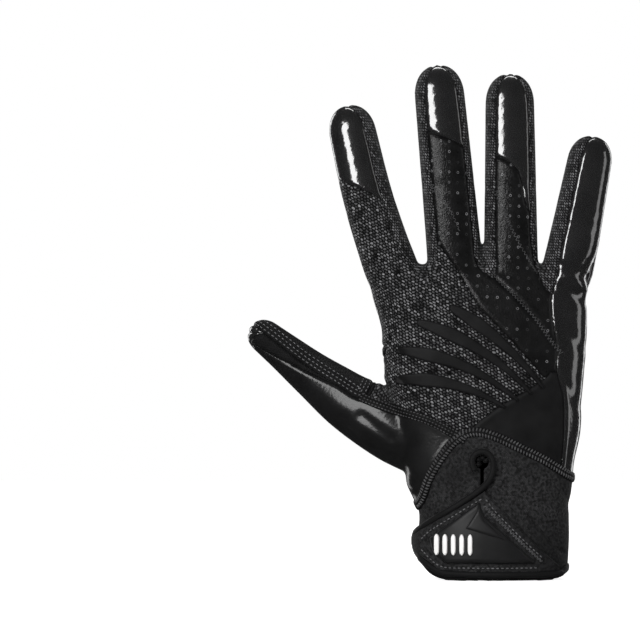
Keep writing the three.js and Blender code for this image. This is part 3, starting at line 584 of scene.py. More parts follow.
def parting_depth(x, z):
    """The depth at which the back of the hand ends and the palm starts."""
    fade = 1 - np.clip((z / PALM_LENGTH - THUMB_TOP) / THUMB_FADE, 0, 1)
    thumb = np.interp(x, *PARTING_THUMB.T)
    palm = np.interp(z, *PARTING_UP.T)
    return palm + fade * thumb + curl_at(np.minimum(z, CURL_TOP * PALM_LENGTH))


print("depth of the parting in the middle of the palm:", round(float(parting_depth(0.0, PALM_LENGTH / 2)), 1))

# %% Inside an outline
def outline_field(outline):
    """For points of the hand: how far they are inside a closed outline, and the nearest places on it."""
    corners = np.vstack([outline, outline[:1]])

    def field(points):
        flat = points[:, [0, 2]]
        away, nearest = distance_to_line(flat, corners)
        inside = np.zeros(len(flat), bool)
        for (x0, z0), (x1, z1) in zip(corners[:-1], corners[1:]):
            crosses = (z0 > flat[:, 1]) != (z1 > flat[:, 1])
            slope = (x1 - x0) / (z1 - z0 if z1 != z0 else 1e-12)
            inside ^= crosses & (flat[:, 0] < x0 + slope * (flat[:, 1] - z0))
        feet = points.copy()
        feet[:, [0, 2]] = nearest
        return np.where(inside, away, -away), feet
    return field


def back_field(points):
    """How far points are on the back's side of the parting surface, and their places on it."""
    depth = parting_depth(points[:, 0], points[:, 2])
    feet = points.copy()
    feet[:, 1] = depth
    return depth - points[:, 1], feet


def closed(line, *corners):
    """A seam closed round the outside of the hand, through far corners given in shares."""
    return outline_field(np.vstack([line, place(corners)]))


test_square = outline_field(np.array([(-5.0, -5.0), (5.0, -5.0), (5.0, 5.0), (-5.0, 5.0)]))
print("the middle of a 10 mm square stands inside it by", test_square(np.zeros((1, 3)))[0][0], "mm")

# %% [markdown]
# A skin is the mesh with a name on each face. A cut first pulls points that nearly lie on the seam onto it,
# or the split would leave slivers. Then each face that the seam crosses becomes two or three.

# %% Cutting along a seam
class Skin:
    """A triangle mesh whose faces carry the names of their panels."""

    def __init__(self, points, faces, label):
        self.points, self.faces = points, faces
        self.labels = np.full(len(faces), label, dtype="U24")

    def cut(self, old, new, field, snap=0.2):
        """Gives the part of the old panels that lies inside a field a new name."""
        chosen = np.isin(self.labels, old)
        faces = self.faces[chosen]
        names = self.labels[chosen]
        used = np.unique(faces)
        value, feet = field(self.points[used])
        near = np.abs(value) < snap
        self.points[used[near]] = feet[near]
        value[near] = 0
        values = np.zeros(len(self.points))
        values[used] = value
        signs = np.sign(values).astype(int)[faces]
        crossing = (signs.max(1) > 0) & (signs.min(1) < 0)
        kept, kept_names = faces[~crossing], names[~crossing].copy()
        kept_names[signs[~crossing].sum(1) > 0] = new
        split, split_signs, split_names = faces[crossing], signs[crossing], names[crossing]
        # turn each split face so that its first corner is the lone one, or the one on the line
        zeros = (split_signs == 0).sum(1)
        alone = np.where(zeros == 1, np.argmax(split_signs == 0, axis=1),
                         np.argmax(split_signs == -np.sign(split_signs.sum(1))[:, None], axis=1))
        turn = (alone[:, None] + np.arange(3)) % 3
        split = np.take_along_axis(split, turn, 1)
        split_signs = np.take_along_axis(split_signs, turn, 1)
        lone, on_line = zeros == 0, zeros == 1
        edges = np.vstack([split[lone][:, [0, 1]], split[lone][:, [0, 2]], split[on_line][:, [1, 2]]])
        pairs, which = np.unique(np.sort(edges, axis=1), axis=0, return_inverse=True)
        which = which.ravel() + len(self.points)
        a, b = values[pairs[:, 0]], values[pairs[:, 1]]
        t = (a / (a - b))[:, None]
        start, end = self.points[pairs[:, 0]], self.points[pairs[:, 1]]
        self.points = np.vstack([self.points, start * (1 - t) + end * t])
        total = int(lone.sum())
        p, q, r = which[:total], which[total:2 * total], which[2 * total:]
        one, two = split[lone], split[on_line]
        added = np.vstack([
            np.column_stack([one[:, 0], p, q]), np.column_stack([p, one[:, 1], one[:, 2]]),
            np.column_stack([p, one[:, 2], q]), np.column_stack([two[:, 0], two[:, 1], r]),
            np.column_stack([two[:, 0], r, two[:, 2]]),
        ])
        first, halves = split_signs[lone][:, 0], split_signs[on_line]
        sides = np.concatenate([first, -first, -first, halves[:, 1], halves[:, 2]])
        added_names = np.concatenate([split_names[lone]] * 3 + [split_names[on_line]] * 2)
        added_names[sides > 0] = new
        self.faces = np.vstack([self.faces[~chosen], kept, added])
        self.labels = np.concatenate([self.labels[~chosen], kept_names, added_names])


skin = Skin(points.copy(), faces, "palm_panel")
skin.cut("palm_panel", "back", back_field)
print("triangles of the back:", int((skin.labels == "back").sum()))

# %% [markdown]
# The order of the cuts follows the order of the layers. The strips between the fingers take from back and
# palm alike, so they come first. The cuff is next, then the glossy panels, and the knit takes what is left.
# The slit and keyhole and the part below the hem are named waste, and no panel is made of them.

# %% Cutting the panels
for name, line in WEBS.items():
    above = [(end[0] / PALM_WIDTH, 2.4) for end in (line[-1], line[0])]
    skin.cut(["back", "palm_panel"], name, closed(line, *above))
beyond_thumb = (-1.6, 1.0)
skin.cut("back", "thumb_side_strip", closed(THUMB_STRIP_BACK, beyond_thumb))
skin.cut("palm_panel", "thumb_web_panel", closed(THUMB_STRIP_PALM, beyond_thumb))
skin.cut("thumb_web_panel", "thumb_side_strip", closed(THUMB_STRIP_BACK, beyond_thumb))
skin.cut("back", "cuff", closed(WRIST, (0.9, 0.3), (0.9, -1), (-0.9, -1), (-0.9, 0.19)))
slit = place([(-0.055, 0.375), (-0.055, -1)])
hole_angles = np.radians(np.arange(-75, 256, 11))
hole = [KEYHOLE + KEYHOLE_RADIUS * np.array([math.cos(a), math.sin(a)]) for a in hole_angles]
slot_corners = [slit[1] + (-SLIT_WIDTH / 2, 0), slit[1] + (SLIT_WIDTH / 2, 0)]
skin.cut("cuff", "waste", outline_field(np.array(hole + slot_corners)))
skin.cut("palm_panel", "cuff", closed(PALM_CUFF_THUMB, (-1, -0.1), (-1, 0.262)))
skin.cut("palm_panel", "cuff", closed(PALM_CUFF_PINKY, (1, -0.1), (1, 0.345)))
skin.cut("palm_panel", "thumb_palm_panel", closed(THUMB_PALM, (-1.6, 0.27), (-1.6, 0.787)))
skin.cut("back", "thumb_back_panel", closed(THUMB_BACK, (-1.6, 0.9), (-1.6, -0.5), (-0.1, -0.5)))
skin.cut("back", "side_panel", closed(SIDE, (0.3, -0.5), (1.5, -0.5), (1.5, 2.2), (0.3, 2.2)))
skin.cut("back", "smooth_heel_panel", closed(HEEL, (-0.11, 0), (0.6, 0), (0.6, 0.66)))
skin.cut("back", "knit_back_panel", closed(KNIT, (0.288, 0.3), (-1.6, 0.3), (-1.6, 1.9), (-0.5, 1.9)))
skin.cut("knit_back_panel", "knit_thumb_part", closed(THUMB_ROOT, (-1.6, 0.4), (-1.6, 1.0)))
skin.cut("knit_back_panel", "index_tip_cap", closed(INDEX_CAP, (-0.5, 2.2), (-1.2, 2.2), (-1.2, 1.29)))
skin.cut("back", "pinhole_ring_panel", closed(PINHOLE, (0.6, 0.72), (0.6, 2.2), (-0.09, 2.2), (-0.07, 1.45)))
skin.labels[skin.labels == "back"] = "pinhole_middle_panel"
skin.cut("pinhole_middle_panel", "middle_tip_cap", closed(MIDDLE_CAP, (-0.08, 2.2), (-0.33, 2.2)))
skin.cut("pinhole_ring_panel", "ring_tip_cap", closed(RING_CAP, (0.4, 1.13), (0.4, 2.2), (-0.02, 2.2)))
panel_names = sorted(set(skin.labels) - {"waste"})
hem_line = np.vstack([HEM_EDGE, place([(3, 0.05), (3, -1), (-3, -1), (-3, 0.09)])])
skin.cut(panel_names, "waste", outline_field(hem_line))
for name in panel_names:
    print(name, int((skin.labels == name).sum()), "triangles")

# %% [markdown]
# A sewn panel is not a flat cut-out. Its edges are turned in and held down by the stitches, so the cloth
# rolls over towards the seam. Each panel here gets that roll from each point's distance to the panel's own
# edge. It also gets its thickness, so it is a closed body that can be looked at from inside.

# %% From a cut sheet to a panel
SEAM_SINK, SEAM_REACH = 0.62, 0.8
SWELL_RISE, SWELL_AWAY, SWELL_REACH = 0.1, 2.0, 1.0
MOST_OF_WALL = 0.9
skin_normals = vertex_normals(skin.points, skin.faces)


def loose_edges(faces):
    """The directed edges that only one face has: the border of a sheet."""
    edges = all_edges(faces)
    _, index, count = np.unique(np.sort(edges, axis=1), axis=0, return_index=True, return_counts=True)
    return edges[index[count == 1]]


def edge_distance(points, border):
    """How far each point is from the nearest point of the border."""
    tree = kdtree.KDTree(len(border))
    for i, at in enumerate(points[border]):
        tree.insert(at, i)
    tree.balance()
    return np.array([tree.find(at)[2] for at in points])


def seam_roll(away):
    """How far a sewn panel sinks at a distance from its seam, with a slight swell beside it."""
    swell = SWELL_RISE * np.exp(-((away - SWELL_AWAY) / SWELL_REACH) ** 2)
    return SEAM_SINK * np.exp(-(away / SEAM_REACH) ** 2) - swell


def round_roll(radius, depth):
    """How far a moulded edge sinks: a quarter round of this radius and depth."""
    def roll(away):
        t = 1 - np.clip(away / radius, 0, 1)
        return depth * (1 - np.sqrt(np.clip(1 - t * t, 0, 1)))
    return roll


def sheet_body(points, normals, faces, wall, roll):
    """Outer and inner points and faces of a closed body from an open sheet."""
    used, faces = np.unique(faces, return_inverse=True)
    faces = faces.reshape(-1, 3)
    points, normals = points[used], normals[used]
    border = loose_edges(faces)
    drop = roll(edge_distance(points, np.unique(border))) if len(border) else np.zeros(len(points))
    outer = points - normals * np.minimum(drop, wall * MOST_OF_WALL)[:, None]
    inner = points - normals * wall
    count = len(points)
    rim = np.column_stack([border[:, 1], border[:, 0], border[:, 0] + count, border[:, 1] + count])
    return np.vstack([outer, inner]), np.vstack([faces, faces[:, ::-1] + count]), rim


def cloth_object(name, points, faces, plan):
    """A smooth object on the glove's body, with cloth coordinates in millimetres from plan(points)."""
    obj = new_object(name, points, faces)
    mesh = obj.data
    mesh.shade_smooth()
    layer = mesh.uv_layers.new(name="cloth")
    corners = np.empty(len(mesh.loops), int)
    mesh.loops.foreach_get("vertex_index", corners)
    layer.data.foreach_set("uv", plan(points)[corners].astype(np.float32).ravel())
    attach(obj, "root")
    return obj


def body_object(name, body, plan):
    """An object from the outside, inside and rim of a sheet body."""
    points, triangles, rim = body
    return cloth_object(name, points, [*triangles.tolist(), *rim.tolist()], plan)


print("skin to make panels from:", len(skin.points), "points")

# %% [markdown]
# A knit needs to know where its rows run. Cloth coordinates are the flat pattern that the panel was cut from,
# in millimetres. Unwrapping each panel could give them, but its rows would turn with each panel. Laying the
# pattern flat on the back keeps all the rows level, and carrying it on round the edges of the hand and the
# sides of the fingers keeps the stitches from stretching there.

# %% Cloth coordinates
EDGE_START, EDGE_FADE, EDGE_SHARE = 5.0, 30.0, 0.8
ROOT_START, ROOT_FADE = 0.94, 0.06


def front_plan(points):
    """Flat, as seen from the back of the hand."""
    return points[:, [0, 2]]


def palm_across(points):
    """Across the back of the hand, and on round its edges where the cloth turns away."""
    up = points[:, 2] / PALM_LENGTH
    middle = np.interp(up, PALM_ROWS[:, 0], (PALM_ROWS[:, 1] + PALM_ROWS[:, 2]) / 2) * PALM_WIDTH
    back = np.interp(up, PALM_ROWS[:, 0], PALM_ROWS[:, 3]) * PALM_DEPTH
    side = np.clip((points[:, 0] - middle) / EDGE_FADE, -1, 1)
    return points[:, 0] + side * EDGE_SHARE * np.maximum(points[:, 1] - back - EDGE_START, 0)


def round_plan(points):
    """Laid round the edges of the hand and the sides of the fingers without stretching."""
    across, nearest = points[:, 0].copy(), np.full(len(points), np.inf)
    for name in FINGERS:
        lean = math.radians(FINGERS[name][2])
        middle = finger_point(name, 0)[0] + (points[:, 2] - PALM_LENGTH) * math.tan(lean)
        sideways = (points[:, 0] - middle) * math.cos(lean)
        turn = np.arctan2(sideways, curl_at(points[:, 2]) - points[:, 1])
        closer = np.abs(sideways) < nearest
        nearest[closer] = np.abs(sideways)[closer]
        across[closer] = (middle + finger_width(name, 0.5) / 2 * turn)[closer]
    share = np.clip((points[:, 2] / PALM_LENGTH - ROOT_START) / ROOT_FADE, 0, 1)
    return np.column_stack([palm_across(points) * (1 - share) + across * share, points[:, 2]])


print("cloth is", np.ptp(round_plan(skin.points)[:, 0]).round(), "mm wide, laid out")

# %% [markdown]
# ## Finishes
# Everything on this glove is black, so the finishes have to differ in gloss and in relief. Three shader
# groups do most of the work, for grain, for knit and for holes. Photographs of cloth could do the same, but a
# group has no seams, stays sharp at any distance and can be tuned by a number.

# %% Helpers for shader nodes
def new_group(name, inputs, outputs):
    """An empty shader group with its named sockets."""
    tree = bpy.data.node_groups.new(name, "ShaderNodeTree")
    for socket, kind, value in inputs:
        made = tree.interface.new_socket(name=socket, in_out="INPUT", socket_type=kind)
        if value is not None:
            made.default_value = value
    for socket, kind in outputs:
        tree.interface.new_socket(name=socket, in_out="OUTPUT", socket_type=kind)
    return tree, tree.nodes.new("NodeGroupInput"), tree.nodes.new("NodeGroupOutput")


def math_node(tree, operation, a, b=None, clamp=False):
    """The output of a math node whose inputs are numbers or other outputs."""
    node = tree.nodes.new("ShaderNodeMath")
    node.operation = operation
    node.use_clamp = clamp
    for socket, value in zip(node.inputs, (a, b)):
        if value is None:
            continue
        if isinstance(value, (int, float)):
            socket.default_value = value
        else:
            tree.links.new(value, socket)
    return node.outputs[0]


def tilted(tree, cloth, tilt):
    """Cloth coordinates turned by an angle, as one output along the rows and one across them."""
    turn = tree.nodes.new("ShaderNodeVectorRotate")
    turn.rotation_type = "Z_AXIS"
    tree.links.new(cloth, turn.inputs["Vector"])
    tree.links.new(tilt, turn.inputs["Angle"])
    parts = tree.nodes.new("ShaderNodeSeparateXYZ")
    tree.links.new(turn.outputs[0], parts.inputs[0])
    return parts.outputs[0], parts.outputs[1]


def cell_shade(tree, column, row):
    """One random share for each cell of a grid, for how much painted glint a stitch or hole rim gets."""
    cell = tree.nodes.new("ShaderNodeCombineXYZ")
    tree.links.new(column, cell.inputs[0])
    tree.links.new(row, cell.inputs[1])
    shade = tree.nodes.new("ShaderNodeTexWhiteNoise")
    shade.noise_dimensions = "2D"
    tree.links.new(cell.outputs[0], shade.inputs["Vector"])
    return math_node(tree, "POWER", shade.outputs["Value"], 2.0)


# %% [markdown]
# No real surface is even. Leather has pores and soft waves, rubber has a bloom and cloth has lint. Noise at
# two sizes gives all of these, so one group serves every finish and only its sizes and shares differ.

# %% Grain
def grain_group():
    """Fine unevenness at two sizes, and a soft mask for worn or dusty patches."""
    tree, given, out = new_group(
        "surface_grain",
        [("Place", "NodeSocketVector", None), ("Grain size mm", "NodeSocketFloat", 1.0),
         ("Wave size mm", "NodeSocketFloat", 9.0), ("Wave share", "NodeSocketFloat", 0.5)],
        [("Height", "NodeSocketFloat"), ("Patches", "NodeSocketFloat"), ("Speckle", "NodeSocketFloat")])
    heights = []
    for size in ("Grain size mm", "Wave size mm"):
        noise = tree.nodes.new("ShaderNodeTexNoise")
        noise.inputs["Detail"].default_value = 3
        tree.links.new(given.outputs["Place"], noise.inputs["Vector"])
        tree.links.new(math_node(tree, "DIVIDE", 1000.0, given.outputs[size]), noise.inputs["Scale"])
        heights.append(noise.outputs[0])
    share = given.outputs["Wave share"]
    fine = math_node(tree, "MULTIPLY", heights[0], math_node(tree, "SUBTRACT", 1.0, share))
    broad = math_node(tree, "MULTIPLY", heights[1], share)
    tree.links.new(math_node(tree, "ADD", fine, broad), out.inputs["Height"])
    for noise, contrast, socket in ((heights[1], 2.5, "Patches"), (heights[0], 4.0, "Speckle")):
        mask = math_node(tree, "MULTIPLY_ADD", noise, contrast, clamp=True)
        mask.node.inputs[2].default_value = 0.5 - contrast / 2
        tree.links.new(mask, out.inputs[socket])
    return tree


GRAIN = grain_group()
print(GRAIN.name, "has", len(GRAIN.nodes), "nodes")

# %% [markdown]
# A knit is rows of small loops, every other row moved by half a loop. Modelling each loop would take millions
# of faces, so sines make the loops as relief. With other sizes the same rows become a coarse knit or a fine
# rib. A little noise moves them about, because cloth on a hand is never pulled quite even.

# %% Rows of stitches
def rows_group():
    """Rows of raised stitches on cloth coordinates in millimetres, every other row moved by half a stitch."""
    tree, given, out = new_group(
        "stitch_rows",
        [("Cloth", "NodeSocketVector", None), ("Stitch mm", "NodeSocketFloat", 2.2),
         ("Row mm", "NodeSocketFloat", 1.5), ("Tilt", "NodeSocketFloat", 0.0),
         ("Roundness", "NodeSocketFloat", 1.0), ("Uneven mm", "NodeSocketFloat", 0.0)],
        [("Height", "NodeSocketFloat"), ("Gap shade", "NodeSocketFloat"), ("Shade", "NodeSocketFloat")])
    wander = tree.nodes.new("ShaderNodeTexNoise")
    wander.inputs["Scale"].default_value = 0.5
    tree.links.new(given.outputs["Cloth"], wander.inputs["Vector"])
    moved = tree.nodes.new("ShaderNodeVectorMath")
    moved.operation = "MULTIPLY_ADD"
    tree.links.new(wander.outputs["Color"], moved.inputs[0])
    tree.links.new(given.outputs["Uneven mm"], moved.inputs[1])
    tree.links.new(given.outputs["Cloth"], moved.inputs[2])
    along, across = tilted(tree, moved.outputs[0], given.outputs["Tilt"])
    row = math_node(tree, "DIVIDE", across, given.outputs["Row mm"])
    whole = math_node(tree, "FLOOR", row)
    odd = math_node(tree, "MULTIPLY", math_node(tree, "MODULO", whole, 2.0), 0.5)
    stitch = math_node(tree, "ADD", math_node(tree, "DIVIDE", along, given.outputs["Stitch mm"]), odd)
    crests = []
    for value in (row, stitch):
        wave = math_node(tree, "SINE", math_node(tree, "MULTIPLY", value, math.pi))
        crests.append(math_node(tree, "ABSOLUTE", wave))
    bump = math_node(tree, "MULTIPLY", *crests)
    height = math_node(tree, "POWER", bump, given.outputs["Roundness"])
    tree.links.new(height, out.inputs["Height"])
    # Painted shade: this mask darkens the gaps between the stitches, where shade falls.
    deep = math_node(tree, "MULTIPLY", math_node(tree, "SUBTRACT", 0.8, height), 2.0, clamp=True)
    tree.links.new(deep, out.inputs["Gap shade"])
    tree.links.new(cell_shade(tree, math_node(tree, "FLOOR", stitch), whole), out.inputs["Shade"])
    return tree


ROWS = rows_group()
print(ROWS.name, "has", len(ROWS.nodes), "nodes")

# %% [markdown]
# The palm is punched with rows of small air holes, and the film on two fingers has finer ones. Real holes
# would need a dense mesh for pits half a millimetre wide, so relief and a painted shade darker than the film
# stand in for them. A painted highlight on the rims of some of them tells the eye that they are pressed into
# the film.

# %% Punched holes
def holes_group():
    """Round punched holes on cloth coordinates in millimetres, each row moved by a share of the step."""
    tree, given, out = new_group(
        "punched_holes",
        [("Cloth", "NodeSocketVector", None), ("Step mm", "NodeSocketFloat", 5.0),
         ("Row mm", "NodeSocketFloat", 5.0), ("Shift", "NodeSocketFloat", 0.0),
         ("Tilt", "NodeSocketFloat", 0.0), ("Radius mm", "NodeSocketFloat", 0.5)],
        [("Height", "NodeSocketFloat"), ("Holes", "NodeSocketFloat"), ("Rim glint", "NodeSocketFloat")])
    along, across = tilted(tree, given.outputs["Cloth"], given.outputs["Tilt"])
    row = math_node(tree, "DIVIDE", across, given.outputs["Row mm"])
    moved = math_node(tree, "MULTIPLY", math_node(tree, "FLOOR", row), given.outputs["Shift"])
    step = math_node(tree, "ADD", math_node(tree, "DIVIDE", along, given.outputs["Step mm"]), moved)
    away = []
    for value, size in ((step, "Step mm"), (row, "Row mm")):
        centred = math_node(tree, "SUBTRACT", math_node(tree, "FRACT", value), 0.5)
        length = math_node(tree, "MULTIPLY", centred, given.outputs[size])
        away.append(math_node(tree, "MULTIPLY", length, length))
    distance = math_node(tree, "SQRT", math_node(tree, "ADD", *away))
    rim = math_node(tree, "DIVIDE", distance, given.outputs["Radius mm"])
    hole = math_node(tree, "MULTIPLY", math_node(tree, "SUBTRACT", 1.25, rim), 3.0, clamp=True)
    tree.links.new(hole, out.inputs["Holes"])
    tree.links.new(math_node(tree, "SUBTRACT", 1.0, hole), out.inputs["Height"])
    # Painted highlight: a ring round each hole, of a random strength, that gets the lighter rim colour.
    off_rim = math_node(tree, "ABSOLUTE", math_node(tree, "SUBTRACT", rim, 1.6))
    rim_glint_mask = math_node(tree, "SUBTRACT", 1.0, math_node(tree, "MULTIPLY", off_rim, 1.8), clamp=True)
    shade = cell_shade(tree, math_node(tree, "FLOOR", step), math_node(tree, "FLOOR", row))
    tree.links.new(math_node(tree, "MULTIPLY", rim_glint_mask, shade), out.inputs["Rim glint"])
    return tree


HOLES = holes_group()
print(HOLES.name, "has", len(HOLES.nodes), "nodes")

# %% [markdown]
# A material is a base shader with up to three reliefs laid over each other. Each group's height becomes a
# bump on the normal of the one before, and its masks mix in the painted shade of gaps and holes and the
# painted glints of stitches and hole rims.

# %% From groups to a material
# Painted shade: the inside of a punched hole, darker than any film round it.
PAINTED_HOLE_SHADE = (0.001, 0.001, 0.001)
SHEEN_ROUGHNESS = 0.4
GRAIN_SOCKETS = ("Grain size mm", "Wave size mm", "Wave share")
ROWS_SOCKETS = ("Stitch mm", "Row mm", "Tilt", "Roundness", "Uneven mm")
HOLES_SOCKETS = ("Step mm", "Row mm", "Shift", "Tilt", "Radius mm")


def add_relief(tree, group, source, sockets, values, depth, below=None):
    """Places a group with its values, and turns its height in millimetres into a bump on the one below."""
    surface = tree.nodes.new("ShaderNodeGroup")
    surface.node_tree = group
    tree.links.new(source, surface.inputs[0])
    for socket, value in zip(sockets, values):
        surface.inputs[socket].default_value = value
    bump = tree.nodes.new("ShaderNodeBump")
    bump.inputs["Distance"].default_value = depth * MM
    tree.links.new(surface.outputs["Height"], bump.inputs["Height"])
    if below:
        tree.links.new(below, bump.inputs["Normal"])
    return surface, bump.outputs[0]


def mixed_color(tree, share, first, second):
    """The first colour turned into the second by a share. Either can be another node's output."""
    mix = tree.nodes.new("ShaderNodeMix")
    mix.data_type = "RGBA"
    tree.links.new(share, mix.inputs[0])
    for socket, color in ((mix.inputs[6], first), (mix.inputs[7], second)):
        if isinstance(color, tuple):
            socket.default_value = (*color, 1)
        else:
            tree.links.new(color, socket)
    return mix.outputs[2]


def finish_material(name, color, patch_and_gap_shade, roughness, grain, rows=None, holes=None, coat=None, sheen=0.0,
                    specular=0.12, speckle=None, glint=None, rim_glint_color=None, patch_gloss=0.0):
    """grain, rows and holes are the values of their groups, each with its depth in millimetres at the end."""
    material = bpy.data.materials.new(name)
    material.use_nodes = True
    tree = material.node_tree
    shader = tree.nodes["Principled BSDF"]
    where = tree.nodes.new("ShaderNodeTexCoord").outputs["Object"]
    cloth = tree.nodes.new("ShaderNodeUVMap")
    cloth.uv_map = "cloth"
    surface, normal = add_relief(tree, GRAIN, where, GRAIN_SOCKETS, grain, grain[-1])
    base = mixed_color(tree, surface.outputs["Patches"], color, patch_and_gap_shade)
    if speckle:
        base = mixed_color(tree, surface.outputs["Speckle"], base, speckle)
    if rows:
        stitched, normal = add_relief(tree, ROWS, cloth.outputs[0], ROWS_SOCKETS, rows, rows[-1], normal)
        # Painted highlight: some stitches, by a random share each, get the lighter glint colour.
        if glint:
            base = mixed_color(tree, stitched.outputs["Shade"], base, glint)
        # Painted shade in the gaps between stitches, in the same colour as the darker patches.
        base = mixed_color(tree, stitched.outputs["Gap shade"], base, patch_and_gap_shade)
    if holes:
        punched, normal = add_relief(tree, HOLES, cloth.outputs[0], HOLES_SOCKETS, holes, holes[-1], normal)
        # Painted highlight on the rims of some holes.
        if rim_glint_color:
            base = mixed_color(tree, punched.outputs["Rim glint"], base, rim_glint_color)
        # Painted shade inside the holes.
        base = mixed_color(tree, punched.outputs["Holes"], base, PAINTED_HOLE_SHADE)
    tree.links.new(base, shader.inputs["Base Color"])
    tree.links.new(normal, shader.inputs["Normal"])
    shader.inputs["Roughness"].default_value = roughness
    shader.inputs["Specular IOR Level"].default_value = specular
    if patch_gloss:
        rough = math_node(tree, "MULTIPLY_ADD", surface.outputs["Patches"], patch_gloss)
        rough.node.inputs[2].default_value = roughness
        tree.links.new(rough, shader.inputs["Roughness"])
    if coat:
        weight, coat_roughness, coat_ior = coat
        shader.inputs["Coat Weight"].default_value = weight
        shader.inputs["Coat Roughness"].default_value = coat_roughness
        shader.inputs["Coat IOR"].default_value = coat_ior
        tree.links.new(normal, shader.inputs["Coat Normal"])
    if sheen:
        shader.inputs["Sheen Weight"].default_value = sheen
        shader.inputs["Sheen Roughness"].default_value = SHEEN_ROUGHNESS
    return material


# %% [markdown]
# A finish is then a short list of values: how dark the cloth is, how dark its patches and the painted shade
# in its gaps are, how rough it is, which relief it carries and how deep that is. The glossy leather is a
# rough black base under a thin, smooth clear coat.
# Thread is paler than the cloth round it, partly in its own tone and partly as a painted highlight for the
# light that its beads catch, so the seams are not lost in the black.

# %% Finishes
def grey(value):
    """A dark neutral with a trace of blue, as dyed black has."""
    return (value, value, value * 1.03)


GLOSS = (grey(0.005), grey(0.008), 0.32, (1.2, 12.0, 0.72, 0.16))
THREAD_GRAIN = (0.15, 5.0, 0.2, 0.05)
PATENT_COAT = (1.0, 0.1, 2.1)
# colour, patch colour and painted gap shade, roughness and grain, then what else the finish has
FINISHES = {
    "gloss_leather": (*GLOSS, dict(coat=PATENT_COAT, patch_gloss=0.1)),
    "punched_leather": (*GLOSS, dict(holes=(12.0, 8.3, -0.558, 0.087, 0.55, 0.3), rim_glint_color=grey(0.06),
                                     coat=PATENT_COAT, patch_gloss=0.1)),
    "back_knit": (grey(0.055), grey(0.003), 0.5, (0.4, 6.0, 0.3, 0.12),
                  dict(rows=(2.0, 1.25, 0.6, 0.9, 1.7, 0.55), glint=grey(0.21), sheen=0.02)),
    "pinhole_knit": (grey(0.003), grey(0.006), 0.5, (0.9, 6.0, 0.2, 0.28),
                     dict(holes=(4.9, 4.9, 0.02, 0.05, 0.32, 0.35), rim_glint_color=grey(0.26), coat=(0.3, 0.12, 1.6))),
    "smooth_film": (grey(0.005), grey(0.009), 0.5, (0.35, 9.0, 0.4, 0.05), {}),
    "strip_knit": (grey(0.065), grey(0.003), 0.6, (0.3, 6.0, 0.3, 0.06),
                   dict(rows=(1.8, 0.95, 0.85, 0.9, 0.7, 0.35), glint=grey(0.17), sheen=0.02)),
    "thumb_leather": (*GLOSS, dict(coat=(0.2, 0.15, 2.1), patch_gloss=0.1)),
    "thumb_knit": (grey(0.012), grey(0.004), 0.5, (0.3, 6.0, 0.3, 0.05),
                   dict(rows=(1.0, 0.7, 0.85, 0.9, 0.2, 0.12), sheen=0.01)),
    "neoprene": (grey(0.046), grey(0.012), 0.7, (1.3, 26.0, 0.3, 0.35),
                 dict(rows=(0.9, 0.6, 0.0, 0.5, 0.0, 0.1), speckle=grey(0.002), sheen=0.02)),
    # Thread colours are partly the thread's own tone and partly a painted highlight for the light that its
    # beads catch.
    "seam_thread": (grey(0.07), grey(0.03), 0.4, THREAD_GRAIN, dict(specular=0.5)),
    "thread_with_painted_highlight": (grey(0.16), grey(0.07), 0.4, THREAD_GRAIN, dict(specular=0.5)),
    "ridge_cloth": (grey(0.006), grey(0.004), 0.6, (0.4, 5.0, 0.3, 0.1), {}),
    "binding_tape": (grey(0.01), grey(0.006), 0.6, (0.3, 5.0, 0.3, 0.06),
                     dict(rows=(0.7, 0.7, 0.0, 0.8, 0.0, 0.05), sheen=0.03)),
    "black_rubber": (grey(0.008), grey(0.011), 0.4, (0.3, 8.0, 0.3, 0.03), dict(specular=0.25)),
    "white_rubber": ((0.8, 0.79, 0.78), (0.74, 0.73, 0.72), 0.4, (0.3, 6.0, 0.3, 0.02), dict(specular=0.4)),
}
FINISH = {name: finish_material(name, *values, **more) for name, (*values, more) in FINISHES.items()}


def dress(obj, slot, *nodes, finish=None):
    """Gives a piece the finish of its record slot, or another that is named, and hides the CAD nodes that it
    stands for.
    """
    obj.data.materials.clear()
    obj.data.materials.append(FINISH[finish or slot])
    if nodes:
        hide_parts(*nodes)
    return obj


print("finishes:", len(FINISH))

# %% [markdown]
# Each panel now stands for the CAD node of the same name, which is hidden, and takes the finish of the slot
# that the record gives that node unless it has one of its own. The knit at the root of the thumb is a finer
# cloth, so it is a panel of its own that shares the back's node.

# %% Panels
SLOTS = {part["node"]: part["material_slot"] for part in frame["record"]["subparts"]}
OTHER_FINISHES = {
    "palm_panel": "punched_leather", "thumb_palm_panel": "punched_leather",
    "thumb_back_panel": "thumb_leather", "thumb_side_strip": "thumb_knit", "knit_thumb_part": "thumb_knit",
}
panel_triangles = 0
for name in panel_names:
    wall = CUFF_WALL if name == "cuff" else HAND_WALL
    body = sheet_body(skin.points, skin_normals, skin.faces[skin.labels == name], wall, seam_roll)
    node = "knit_back_panel" if name == "knit_thumb_part" else name
    gloss = SLOTS[node] == "gloss_leather"
    plan = front_plan if gloss or name == "cuff" else round_plan
    finish = OTHER_FINISHES.get(name, SLOTS[node])
    dress(body_object(f"{name}_cloth", body, plan), SLOTS[node], node, finish=finish)
    panel_triangles += len(body[1]) + 2 * len(body[2])
print("panels:", len(panel_names), "triangles:", panel_triangles)

# %% [markdown]
# ## Trims
# The flap, its pad, the ribs and the fins all follow the hand at some height. Each starts as a copy of the
# skin lifted by that height, is cut along its own outline and gets rounded edges and a thickness.

# %% Lifted patches
PATCH_MARGIN, PARTING_MARGIN = 4.0, 6.0
hand_normals = vertex_normals(points, faces)


